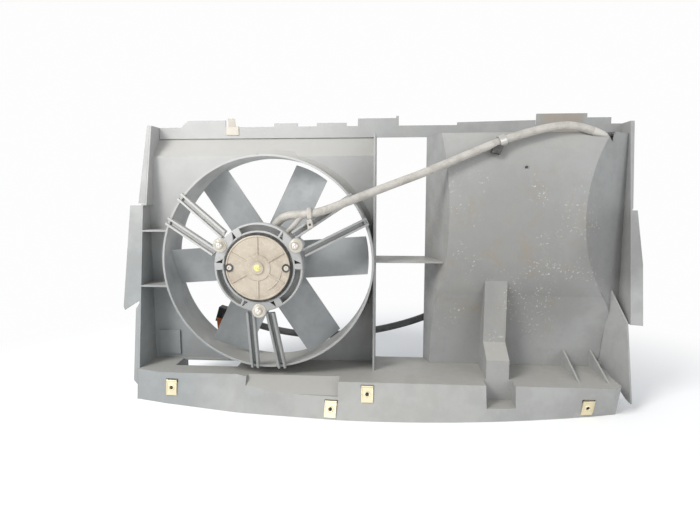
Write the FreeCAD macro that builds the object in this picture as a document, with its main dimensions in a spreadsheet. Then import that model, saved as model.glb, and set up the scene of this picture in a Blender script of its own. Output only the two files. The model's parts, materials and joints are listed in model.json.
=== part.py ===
# Radiator cooling fan: a moulded cowl carrying an electric motor and a six-blade fan.
# Millimetres. X to the right, Z up, Y from the engine side (front) towards the radiator.
# Pieces are drawn about the fan axis and then set down on their lowest edge.
import FreeCAD, Part
import math
import os
import Sketcher

V = FreeCAD.Vector
Rotation = FreeCAD.Rotation
Placement = FreeCAD.Placement

SIZES = {
    # Moulding
    "wall": 2.5,
    "panel_front": 75,
    "rear_face": 100,
    "floor_z": -205,
    "tray_top": -160,
    "rail_bottom": 179,
    "rail_top": 196,
    "bevel_foot": 150.5,
    "side_top_x": -187,
    "side_low_x": -200,
    "side_step_z": 78,
    "right_wall_x": 502.5,
    "edge_mid_y": 40.75,
    "edge_slope": 0.15,
    "side_rib_z": 40.5,
    "panel_pad_rise": 3,
    # Fan ring
    "ring_bore": 145.3,
    "ring_wall": 2.7,
    "ring_rear": 80,
    "bell_start": 56,
    "bell_mouth": 156,
    # Window
    "post_x": 146,
    "post_front": 30,
    "window_right": 223,
    "cross_rib_z": -2,
    # Bulged panel
    "bulge_axis_y": 235,
    "bulge_axis_z": 65,
    "bulge_radius": 220,
    "bulge_foot": -85,
    "left_cap_slope": 0.318,
    "right_cap_x": 411.2,
    "right_cap_slope": 1.255,
    "column_left": 304,
    "column_right": 335,
    "column_top": -20,
    "column_front": 35,
    "column_foot": -115,
    "block_front": 5,
    "block_top": -133,
    "block_bottom": -182,
    # Bottom tray
    "box_left": -159,
    "box_right": -46,
    "box_front": 0,
    "shelf_front": -20,
    "shelf_left": 101,
    "step_left": -30,
    "step_drop": 18,
    "tray_right": 480,
    "tray_corner": 12,
    "lip_middle_x": 150,
    "lip_middle_y": -44,
    "lip_left_y": 10,
    "slot_left": -150,
    "slot_right": -55,
    "slot_front": 34,
    "slot_back": 68,
    "notch_margin": 4,
    "notch_bottom": -189,
    "gusset_height": 26,
    # Spider and motor mount
    "spoke_width": 11,
    "spoke_groove": 5.5,
    "spoke_depth": 10,
    "spoke_pair_rim": 19.3,
    "spoke_pair_hub": 13,
    "spider_front": -46,
    "mount_depth": 14,
    "mount_bore": 45.5,
    "mount_radius": 58,
    "mount_wall": 2.4,
    "lug_circle": 57,
    "lug_radius": 10,
    "grommet_radius": 7,
    # Motor
    "plate_face": -50,
    "plate_thickness": 3,
    "can_radius": 41,
    "can_wall": 1.8,
    "can_end": 22,
    "flange_radius": 50,
    "flange_thickness": 2,
    "shaft_radius": 4,
    "shaft_end": 53,
    "bush_radius": 8,
    "bush_length": 9,
    "running_gap": 0.05,
    "seat_gap": 0.1,
    "magnet_thickness": 6,
    "core_radius": 31,
    "core_length": 34,
    "core_start": -24,
    "core_slots": 12,
    "slot_width": 5,
    "slot_depth": 12,
    "winding_radius": 28,
    "winding_length": 7,
    "commutator_radius": 11,
    "commutator_length": 11,
    "commutator_start": -43,
    "washer_thickness": 0.8,
    "brush_width": 6,
    "brush_reach": 14,
    "bolt_radius": 3,
    "bolt_length": 26,
    "bolt_head": 5.2,
    "bolt_flange": 7.2,
    "sleeve_wall": 1.2,
    "nut_height": 5,
    # Fan
    "tip_gap": 5.3,
    "hub_radius": 51.5,
    "hub_wall": 3,
    "hub_front": 5,
    "hub_back": 45,
    "boss_radius": 12,
    "boss_front": 36,
    "boss_back": 50,
    "blade_count": 6,
    "blade_near": 13,
    "blade_far": 36,
    "blade_half_chord": 25.5,
    "blade_thickness": 2.4,
    "blade_camber": 113,
    "blade_lead": 4,
    "pin_radius": 1.5,
    # Fasteners and leads
    "clip_nut_width": 16,
    "clip_nut_height": 22,
    "clip_nut_sheet": 1,
    "clip_nut_bore": 2.5,
    "clip_nut_barrel": 4.6,
    "clip_nut_barrel_length": 5,
    "loom_radius": 5.5,
    "rear_loom_radius": 5.5,
    "tie_thickness": 1.2,
}

doc = FreeCAD.newDocument("radiator_cooling_fan")
sheet = doc.addObject("Spreadsheet::Sheet", "sizes")
for row, (alias, value) in enumerate(SIZES.items(), 1):
    sheet.set("A%d" % row, alias)
    sheet.set("B%d" % row, str(value))
    sheet.setAlias("B%d" % row, alias)
doc.recompute()


class Lookup:
    """Reads a driving dimension from the sheet as a number."""

    def __getattr__(self, alias):
        return float(sheet.get(alias))


s = Lookup()
ALONG_Y = Rotation(V(1, 0, 0), -90)
LUG_ANGLES = (30, 150, 270)
FAR = 1000
pieces = {}


def keep(name, item):
    """Registers a finished sub-part under the name of its node."""
    item.Label = name
    pieces[name] = item
    return item


def keep_shape(name, shape):
    """Keeps a shape that was worked out from the sheet as one sub-part."""
    item = doc.addObject("Part::Feature", name)
    item.Shape = shape
    return keep(name, item)


# Helpers for parametric primitives
def rod(name, radius, length, start, x="0", z="0"):
    """Cylinder along +Y whose near face is at y = start."""
    item = doc.addObject("Part::Cylinder", name)
    item.Placement = Placement(V(0, 0, 0), ALONG_Y)
    item.setExpression("Radius", radius)
    item.setExpression("Height", length)
    item.setExpression("Placement.Base.x", x)
    item.setExpression("Placement.Base.y", start)
    item.setExpression("Placement.Base.z", z)
    return item


def block(name, corner, edges):
    """Box given by the formulas of its low corner and of its edge lengths."""
    item = doc.addObject("Part::Box", name)
    for axis, formula in zip("xyz", corner):
        item.setExpression("Placement.Base." + axis, formula)
    for edge, formula in zip(("Length", "Width", "Height"), edges):
        item.setExpression(edge, formula)
    return item


def cut(name, base, tool):
    item = doc.addObject("Part::Cut", name)
    item.Base = base
    item.Tool = tool
    return item


def fuse(name, *items):
    item = doc.addObject("Part::MultiFuse", name)
    item.Shapes = list(items)
    return item


def group(name, items):
    """Separate solids that share one node."""
    item = doc.addObject("Part::Compound", name)
    item.Links = list(items)
    return item


# Helpers for sketched bodies
def origin_plane(body, role):
    return next(f for f in body.Origin.OriginFeatures if f.Role == role)


def new_sketch(body, name, role):
    sketch = body.newObject("Sketcher::SketchObject", name)
    sketch.AttachmentSupport = [(origin_plane(body, role), "")]
    sketch.MapMode = "FlatFace"
    return sketch


def pin_point(sketch, edge, end, formulas):
    """Ties one end of a sketch edge to the formulas of its two coordinates."""
    for kind, formula, axis in zip(("DistanceX", "DistanceY"), formulas, (-2, -1)):
        if formula == "0":
            sketch.addConstraint(Sketcher.Constraint("PointOnObject", edge, end, axis))
            continue
        value = float(sketch.evalExpression(formula))
        index = sketch.addConstraint(Sketcher.Constraint(kind, -1, 1, edge, end, value))
        sketch.setExpression("Constraints[%d]" % index, formula)


def outline(sketch, corners):
    """Closed polygon whose corners are given as pairs of formulas."""
    points = [V(float(sketch.evalExpression(u)), float(sketch.evalExpression(v)), 0) for u, v in corners]
    count = len(points)
    first = sketch.GeometryCount
    for k in range(count):
        sketch.addGeometry(Part.LineSegment(points[k], points[(k + 1) % count]), False)
    for k in range(count):
        following = first + (k + 1) % count
        sketch.addConstraint(Sketcher.Constraint("Coincident", first + k, 2, following, 1))
        pin_point(sketch, first + k, 1, corners[k])


def ring_in(sketch, radius, centre=("0", "0")):
    """Circle of a given radius formula about a given centre."""
    at = V(float(sketch.evalExpression(centre[0])), float(sketch.evalExpression(centre[1])), 0)
    value = float(sketch.evalExpression(radius))
    index = sketch.addGeometry(Part.Circle(at, V(0, 0, 1), value), False)
    if centre == ("0", "0"):
        sketch.addConstraint(Sketcher.Constraint("Coincident", index, 3, -1, 1))
    else:
        pin_point(sketch, index, 3, centre)
    limit = sketch.addConstraint(Sketcher.Constraint("Radius", index, value))
    sketch.setExpression("Constraints[%d]" % limit, radius)


def spun(body, kind, name, corners):
    """Revolution or groove about the fan axis of a profile of (radius, y) formulas."""
    sketch = new_sketch(body, name + "_profile", "XY_Plane")
    outline(sketch, corners)
    feature = body.newObject("PartDesign::" + kind, name)
    feature.Profile = sketch
    feature.ReferenceAxis = (sketch, ["V_Axis"])
    feature.Angle = 360
    return feature


def turned(name, corners):
    """Body of one revolution about the fan axis."""
    body = doc.addObject("PartDesign::Body", name)
    spun(body, "Revolution", name + "_turning", corners)
    return body


def sleeve_corners(inner, outer, start, end):
    """Profile of a plain ring between two radii and two stations."""
    return [(inner, start), (outer, start), (outer, end), (inner, end)]


# Helpers for shapes worked out directly
def face_of(points):
    return Part.Face(Part.makePolygon(points + points[:1]))


def slab(points, y0, y1):
    """Prism along Y over a polygon of (x, z) points."""
    return face_of([V(x, y0, z) for x, z in points]).extrude(V(0, y1 - y0, 0))


def bar(points, x0, x1):
    """Prism along X over a polygon of (y, z) points."""
    return face_of([V(x0, y, z) for y, z in points]).extrude(V(x1 - x0, 0, 0))


def plan(points, z0, z1):
    """Prism along Z over a polygon of (x, y) points."""
    return face_of([V(x, y, z0) for x, y in points]).extrude(V(0, 0, z1 - z0))


def brick(x0, x1, y0, y1, z0, z1):
    return Part.makeBox(x1 - x0, y1 - y0, z1 - z0, V(x0, y0, z0))


def spin_solid(points):
    """Solid of revolution about the fan axis over a closed (radius, y) wire."""
    edges = []
    for a, b in zip(points, points[1:] + points[:1]):
        if isinstance(b, tuple) and len(b) == 3:
            continue
        if isinstance(a, tuple) and len(a) == 3:
            continue
        edges.append(Part.makeLine(V(a[0], a[1], 0), V(b[0], b[1], 0)))
    for k, p in enumerate(points):
        if len(p) == 3:
            a, b = points[k - 1], points[(k + 1) % len(points)]
            arc = Part.Arc(V(a[0], a[1], 0), V(p[0], p[1], 0), V(b[0], b[1], 0))
            edges.append(arc.toShape())
    wire = Part.Wire(Part.__sortEdges__(edges))
    return Part.Face(wire).revolve(V(0, 0, 0), V(0, 1, 0), 360)


def clean(shape):
    return shape.removeSplitter()


# Cowl
def front_edge_y(z):
    """Front edge of the side walls, which lean forward towards the floor."""
    return s.edge_mid_y + s.edge_slope * z


def ahead_of_edge(shift=0):
    """Everything in front of the leaning front edge."""
    low, high = s.floor_z - 20, s.rail_top + 20
    points = [(-FAR, low), (front_edge_y(low) + shift, low), (front_edge_y(high) + shift, high), (-FAR, high)]
    return bar(points, -FAR, FAR)


def edge_flange(points):
    """Thin flange lying in the leaning plane of the front edge."""
    sheet_band = ahead_of_edge(s.wall).cut(ahead_of_edge())
    return slab(points, -FAR / 5, FAR / 5).common(sheet_band)


def ring_envelope():
    """The fan ring with its bore filled."""
    outer = s.ring_bore + s.ring_wall
    depth = s.ring_rear - s.bell_start
    rise = s.bell_mouth - s.ring_bore
    bend = (depth * depth + rise * rise) / (2 * rise)
    half = depth / 2
    mid_rise = bend - math.sqrt(bend * bend - half * half)
    return spin_solid([
        (0, 0), (outer, 0), (outer, s.bell_start),
        (outer + mid_rise, s.bell_start + half, "arc"),
        (outer + rise, s.ring_rear), (0, s.ring_rear),
    ])


def ring_bore_solid():
    """The air passage through the fan ring."""
    depth = s.ring_rear - s.bell_start
    rise = s.bell_mouth - s.ring_bore
    bend = (depth * depth + rise * rise) / (2 * rise)
    half = depth / 2
    mid_rise = bend - math.sqrt(bend * bend - half * half)
    return spin_solid([
        (0, -1), (s.ring_bore, -1), (s.ring_bore, s.bell_start),
        (s.ring_bore + mid_rise, s.bell_start + half, "arc"),
        (s.bell_mouth, s.ring_rear), (s.bell_mouth, s.ring_rear + 1), (0, s.ring_rear + 1),
    ])


def bulge_core(inset, rear):
    """The bulged panel as a filled form, drawn in by an inset."""
    radius = s.bulge_radius - inset
    top = s.rail_bottom - inset
    foot_y = s.panel_front + inset

    def arc_y(z):
        return s.bulge_axis_y - math.sqrt(radius * radius - (z - s.bulge_axis_z) ** 2)

    start = V(0, arc_y(top), top)
    crest = V(0, s.bulge_axis_y - radius, s.bulge_axis_z)
    end = V(0, arc_y(s.bulge_foot), s.bulge_foot)
    corners = [V(0, foot_y, s.bulge_foot - 4), V(0, foot_y, s.tray_top), V(0, rear, s.tray_top), V(0, rear, top)]
    edges = [Part.Arc(start, crest, end).toShape()]
    for a, b in zip([end] + corners, corners + [start]):
        edges.append(Part.makeLine(a, b))
    profile = Part.Face(Part.Wire(edges))
    left = s.window_right
    profile.translate(V(left, 0, 0))
    form = profile.extrude(V(s.right_wall_x - left, 0, 0))
    lean = math.hypot(1, s.left_cap_slope) * inset
    far_lean = math.hypot(1, s.right_cap_slope) * inset

    def left_cap(y):
        return s.window_right + s.left_cap_slope * (s.rear_face - y) + lean

    def right_cap(y):
        return s.right_cap_x + s.right_cap_slope * y - far_lean

    low, high = s.tray_top - 1, s.rail_bottom + 1
    form = form.cut(plan([(left_cap(rear), rear), (left_cap(-9), -9), (-FAR, -9), (-FAR, rear)], low, high))
    form = form.cut(plan([(right_cap(rear), rear), (right_cap(-9), -9), (FAR, -9), (FAR, rear)], low, high))
    return form


def column_core(inset):
    """The hollow column and its block, drawn in by an inset."""
    front, block_front = s.column_front + inset, s.block_front + inset
    foot = s.column_foot - inset / 2
    top = s.block_top - inset
    points = [
        (s.rear_face + inset, s.column_top), (front, s.column_top), (front, foot), (block_front, top),
        (block_front, s.block_bottom + inset), (s.rear_face + inset, s.block_bottom + inset),
    ]
    return bar(points, s.column_left + inset, s.column_right - inset)


def tray_plan_top(inset):
    """Top outline of the tray, seen from above, drawn in by an inset."""
    left, right = s.side_low_x + s.wall + inset, s.tray_right - inset
    rear = s.rear_face + inset
    corner = s.tray_corner
    shelf = s.shelf_front + inset
    box = s.box_front + inset
    return [
        V(left, rear, 0), V(left, s.lip_left_y + 2 + inset, 0), V(s.box_left, box, 0), V(s.box_right, box, 0),
        V(s.step_left, s.shelf_front / 2 + inset, 0), V(s.shelf_left, shelf, 0), V(right - corner, shelf, 0),
        V(right, shelf + corner, 0), V(right, rear, 0),
    ]


def tray_plan_foot(inset):
    """Bottom outline of the tray with its bowed lip, drawn in by an inset."""
    left, right = s.side_low_x + s.wall + inset, s.tray_right - inset
    rear = s.rear_face + inset
    half = s.lip_middle_x - left
    sag = s.lip_left_y - s.lip_middle_y

    def bow(x):
        return s.lip_middle_y + inset + sag * ((x - s.lip_middle_x) / half) ** 2

    stations = [left, s.box_left + 8, s.box_right, s.step_left, s.shelf_left, right - s.tray_corner]
    points = [V(left, rear, 0)] + [V(x, bow(x), 0) for x in stations]
    middle = (stations[-2] + stations[-1]) / 2
    return points + [V(right, bow(right), 0), V(right, rear, 0)], V(middle, bow(middle), 0)


def tray_core(inset, rise=0):
    """The tray as a filled form between its two outlines."""
    high, low = s.tray_top, s.floor_z - rise
    stretch = (high - low) / (s.tray_top - s.floor_z)
    top = tray_plan_top(inset)
    foot, bow_middle = tray_plan_foot(inset)
    foot = [t + (f - t) * stretch for t, f in zip(top, foot)]
    bowed = len(foot) - 4
    top_middle = (top[bowed] + top[bowed + 1]) * 0.5
    bow_middle = top_middle + (bow_middle - top_middle) * stretch
    wires = []
    for points, z, bend in ((top, high, None), (foot, low, bow_middle)):
        corners = [V(p.x, p.y, z) for p in points]
        edges = []
        for k, (a, b) in enumerate(zip(corners, corners[1:] + corners[:1])):
            if bend is not None and k == bowed:
                edges.append(Part.Arc(a, V(bend.x, bend.y, z), b).toShape())
            else:
                edges.append(Part.makeLine(a, b))
        wires.append(Part.Wire(edges))
    form = Part.makeLoft(wires, True, True)
    if inset:
        form = form.cut(brick(-FAR, FAR, -FAR, FAR, s.tray_top - inset, s.tray_top + 1))
    return form


def step_wedge(inset):
    """What the lowered step takes off the front edge of the tray."""
    reach = s.box_front + 2
    points = [
        (reach + inset, s.tray_top + 1), (reach + inset, s.tray_top - inset),
        (s.shelf_front - 4 + inset, s.tray_top - s.step_drop - inset),
        (-FAR, s.tray_top - s.step_drop - inset), (-FAR, s.tray_top + 1),
    ]
    return bar(points, s.step_left - inset, s.shelf_left + inset)


def notch_box(inset):
    """The notch that the block of the column stands in."""
    margin = s.notch_margin + inset
    return brick(s.column_left - margin, s.column_right + margin, -FAR, s.block_front + inset,
                 s.notch_bottom - inset, s.tray_top + 1)


def face_frame(x, z):
    """Placement on the front face of the tray, with local Y pointing inwards."""
    core = tray_core(0).cut(step_wedge(0))
    reach = 4

    def front(at_x, at_z):
        probe = Part.makeLine(V(at_x, -FAR, at_z), V(at_x, s.panel_front, at_z))
        return V(at_x, core.common(probe).BoundBox.YMin, at_z)

    across = front(x + reach, z) - front(x - reach, z)
    up = front(x, z + reach) - front(x, z - reach)
    return Placement(front(x, z), Rotation(across, V(0, 0, 0), up, "XZY"))


CLIP_NUTS = ((-141, -181), (92, -193), (141, -174), (436, -190))


def clip_nut_windows():
    """Slots and screw holes that the clip nuts need in the front face."""
    cuts = []
    for x, z in CLIP_NUTS:
        height = s.clip_nut_height / 2
        slot = brick(-s.clip_nut_width / 2 - 1, s.clip_nut_width / 2 + 1, -6, 7, height - 3, height + 1.5)
        hole = Part.makeCylinder(s.clip_nut_barrel + 1, 14, V(0, -6, 0), V(0, 1, 0))
        for shape in (slot, hole):
            shape.Placement = face_frame(x, z)
            cuts.append(shape)
    return cuts


def make_window_ribs():
    """Upright rib beside the fan ring and the rib across the window."""
    post = brick(s.post_x, s.post_x + s.wall, s.post_front, s.rear_face, s.tray_top, s.rail_bottom)
    cross = brick(s.post_x + s.wall, s.window_right + 40, s.post_front, s.rear_face,
                  s.cross_rib_z, s.cross_rib_z + s.wall)
    return post.fuse(cross.cut(bulge_core(0, s.rear_face)))


def spoke(angle, side):
    """One channelled spoke from a motor lug out to the rim of the ring."""
    pair = Placement(V(0, 0, 0), Rotation(V(0, -1, 0), angle))
    start = V(s.lug_circle + 4, s.spider_front + 2, side * s.spoke_pair_hub)
    end = V(s.ring_bore + s.ring_wall + 1.5, -1.5, side * s.spoke_pair_rim)
    run = V(end.x - start.x, 0, end.z - start.z)
    length = run.Length
    turn = math.degrees(math.atan2(run.z, run.x))
    fall = end.y - start.y

    def beam(half, top, depth):
        points = [V(0, start.y + top, -half), V(length, start.y + fall + top, -half),
                  V(length, start.y + fall + depth, -half), V(0, start.y + depth, -half)]
        return face_of(points).extrude(V(0, 0, 2 * half))

    body = beam(s.spoke_width / 2, 0, s.spoke_depth)
    groove = beam(s.spoke_groove / 2, -1, s.spoke_depth - s.wall)
    body = body.cut(groove)
    body.Placement = Placement(V(start.x, 0, start.z), Rotation(V(0, -1, 0), turn))
    return body.transformGeometry(pair.toMatrix())


def mount_ring():
    """Channelled ring round the motor with three lugs for the rubber grommets."""
    front, rear = s.spider_front, s.spider_front + s.mount_depth
    web = s.mount_wall
    outer = Part.makeCylinder(s.mount_radius, s.mount_depth, V(0, front, 0), V(0, 1, 0))
    groove = Part.makeCylinder(s.mount_radius - web, s.mount_depth - web, V(0, front, 0), V(0, 1, 0))
    groove = groove.cut(Part.makeCylinder(s.mount_bore + web, s.mount_depth, V(0, front, 0), V(0, 1, 0)))
    ring = outer.cut(groove)
    bore = Part.makeCylinder(s.mount_bore, 3 * s.mount_depth, V(0, front - 5, 0), V(0, 1, 0))
    for angle in LUG_ANGLES:
        at = V(s.lug_circle * math.cos(math.radians(angle)), front, s.lug_circle * math.sin(math.radians(angle)))
        ring = ring.fuse(Part.makeCylinder(s.lug_radius, s.mount_depth, at, V(0, 1, 0)))
    ring = ring.cut(bore)
    for angle in LUG_ANGLES:
        at = V(s.lug_circle * math.cos(math.radians(angle)), front - 5, s.lug_circle * math.sin(math.radians(angle)))
        ring = ring.cut(Part.makeCylinder(s.grommet_radius + s.seat_gap, rear - front + 10, at, V(0, 1, 0)))
    return ring


def make_fan_ring():
    """Fan ring with its bell mouth, the spokes and the motor mount."""
    ring = ring_envelope().cut(ring_bore_solid())
    ring = ring.cut(brick(s.post_x, FAR, s.post_front, s.rear_face, -FAR, FAR))
    spider = mount_ring()
    holes = Part.makeCylinder(s.mount_bore, 60, V(0, s.spider_front - 5, 0), V(0, 1, 0))
    for angle in LUG_ANGLES:
        at = V(s.lug_circle * math.cos(math.radians(angle)), s.spider_front - 5,
               s.lug_circle * math.sin(math.radians(angle)))
        holes = holes.fuse(Part.makeCylinder(s.grommet_radius + s.seat_gap, 60, at, V(0, 1, 0)))
    for angle in LUG_ANGLES:
        for side in (-1, 1):
            spider = spider.fuse(spoke(angle, side).cut(holes))
    return clean(ring.fuse(spider))


def side_wall_left():
    """Left side wall, stepped outwards below the upper flap."""
    step, w = s.side_step_z, s.wall
    upper = slab([(s.side_top_x, s.rail_top), (s.side_top_x - w, s.rail_top),
                  (s.side_top_x - w - 5, step), (s.side_top_x - 5, step)], -FAR / 5, s.rear_face)
    lower = slab([(s.side_low_x, step), (s.side_low_x + w, step),
                  (s.side_low_x + w, s.floor_z), (s.side_low_x, s.floor_z)], -FAR / 5, s.rear_face)
    ledge = brick(s.side_low_x, s.side_top_x - 5, -FAR / 5, s.rear_face, step, step + w)
    return upper.fuse(lower).fuse(ledge).cut(ahead_of_edge())


def make_fan_panel():
    """Flat panel round the fan, its top bevel, left wall and ribs."""
    w = s.wall
    left_top = s.side_top_x
    panel = slab([
        (left_top - 2, s.bevel_foot), (s.post_x, s.bevel_foot), (s.post_x, s.tray_top),
        (s.side_low_x + w, s.tray_top), (s.side_low_x + w, s.side_step_z), (left_top - 5, s.side_step_z),
    ], s.panel_front, s.panel_front + w)
    bevel = bar([(s.panel_front, s.bevel_foot), (s.panel_front + w, s.bevel_foot),
                 (s.rear_face, s.rail_bottom - w), (s.rear_face, s.rail_bottom)], left_top - 2, s.post_x)
    shape = panel.fuse(bevel).fuse(side_wall_left())
    for z in (s.side_rib_z, -s.side_rib_z):
        rib = brick(s.side_low_x + w, -100, 0, s.panel_front, z - w / 2, z + w / 2)
        shape = shape.fuse(rib.cut(ahead_of_edge()))
    pad = brick(-190, -157, s.panel_front - s.panel_pad_rise, s.panel_front, -154, -116)
    return clean(shape.fuse(pad).cut(ring_envelope()))


def make_top_rail():
    """Rail along the top with the tabs that hook over the radiator."""
    w = s.wall
    y0, y1 = s.rear_face - w, s.rear_face
    rise = s.rail_top - s.rail_bottom
    rail = slab([(s.side_top_x, s.rail_bottom), (s.right_wall_x, s.rail_bottom),
                 (s.right_wall_x, s.rail_top), (s.side_top_x, s.rail_top)], y0, y1)
    shape = rail
    tabs = [
        [(-152, 0), (-141, 10), (-82, 10), (-82, 0)],
        [(-7, 0), (-7, 5), (29, 5), (29, 0)],
        [(58, 0), (58, 5), (103, 5), (103, 0)],
        [(120, 0), (120, 11), (177, 11), (177, 14), (181, 14), (181, 0)],
        [(267, 0), (267, 4), (380, 6), (380, 0)],
        [(381, 0), (381, 15), (453, 15), (453, 9), (487, 9), (487, 0)],
    ]
    for tab in tabs:
        shape = shape.fuse(slab([(x, s.rail_top + z) for x, z in tab], y0, y1))
    shelf = brick(s.side_top_x, s.right_wall_x, y1, y1 + 8, s.rail_top - rise / 2, s.rail_top - rise / 2 + w)
    return clean(shape.fuse(shelf))


def make_bulge_panel():
    """Bulged right panel with its slanted ends and the hollow column."""
    outer = bulge_core(0, s.rear_face).fuse(column_core(0))
    inner = bulge_core(s.wall, s.rear_face + 10).fuse(column_core(s.wall))
    mouth, through = V(*REAR_ROUTE[0]), V(*REAR_ROUTE[1])
    along = (through - mouth).normalize()
    lead_hole = Part.makeCylinder(s.rear_loom_radius + 2, 46, mouth - along * 14, along)
    return clean(outer.cut(inner).cut(lead_hole))


def lower_web():
    """Wall that closes the lower right corner, running in towards the tray."""
    start = V(s.tray_right, s.panel_front, 0)
    end = V(s.right_wall_x, 12, 0)
    run = end - start
    length = run.Length
    turn = math.degrees(math.atan2(run.y, run.x))
    share = 0.25
    points = [V(0, 0, s.tray_top), V(share * length, 0, -42), V(0.75 * length, 0, -82),
              V(length, 0, -193), V(0.85 * length, 0, -189), V(0.3 * length, 0, s.tray_top)]
    web = face_of(points).extrude(V(0, s.wall, 0))
    web.Placement = Placement(start, Rotation(V(0, 0, 1), turn))
    return web


def make_right_wall():
    """Right side wall and the web under it."""
    x0, x1 = s.right_wall_x, s.right_wall_x + s.wall
    wall = slab([(x0, s.rail_top), (x1, s.rail_top), (x1, -85), (x0, -85)], -FAR / 5, s.rear_face)
    wall = wall.cut(ahead_of_edge())
    web = lower_web().cut(bulge_core(0, s.rear_face))
    return clean(wall.fuse(web))


def make_bottom_tray():
    """Tray along the bottom: box, lowered step, shelf, notch, gussets and bowed lip."""
    outer = tray_core(0).cut(step_wedge(0)).cut(notch_box(0))
    inner = tray_core(s.wall, 5).cut(step_wedge(s.wall)).cut(notch_box(s.wall))
    shape = outer.cut(inner)
    for x in (s.box_left, s.box_right, 151, 240, 400):
        web = tray_core(0).common(brick(x, x + s.wall, -FAR / 5, s.rear_face, s.floor_z, s.tray_top))
        shape = shape.fuse(web.cut(step_wedge(0)))
    shape = shape.cut(brick(s.slot_left, s.slot_right, s.slot_front, s.slot_back, s.tray_top - 9, s.tray_top + 9))
    for x in (427, 466):
        gusset = bar([(s.panel_front, s.tray_top), (s.panel_front, s.tray_top + s.gusset_height),
                      (s.box_front, s.tray_top)], x, x + s.wall)
        shape = shape.fuse(gusset)
    for window in clip_nut_windows():
        shape = shape.cut(window)
    return clean(shape.cut(column_core(0)))


def make_left_flaps():
    """Air guides standing out from the left front edge."""
    top, low = s.side_top_x - s.wall, s.side_low_x
    upper = edge_flange([(top, s.rail_top), (top - 4, s.rail_top), (top - 15, s.side_step_z + 3),
                         (top - 5, s.side_step_z + 3)])
    middle = edge_flange([(low, s.side_step_z), (low - 17, s.side_step_z), (low - 24, -71), (low - 22, -76),
                          (low, -62)])
    lower = edge_flange([(low, -66), (low - 5, -74), (low - 6, -178), (low, -184)])
    return Part.makeCompound([upper, middle.fuse(lower)])


def make_right_flaps():
    """Air guides standing out from the right front edge."""
    edge = s.right_wall_x + s.wall
    upper = edge_flange([(edge, s.rail_top), (edge + 3, s.rail_top), (edge + 1, 74), (edge, 74)])
    middle = edge_flange([(edge, 72), (edge + 7, 72), (edge + 14, -2), (edge + 14, -86), (edge, -85)])
    return Part.makeCompound([upper, middle])


# Motor
def lug_place(angle):
    return "sizes.lug_circle * cos(%d)" % angle, "sizes.lug_circle * sin(%d)" % angle


PLATE_BACK = "sizes.plate_face + sizes.plate_thickness"
FLANGE_START = "sizes.spider_front + sizes.mount_depth + 1"


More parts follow.
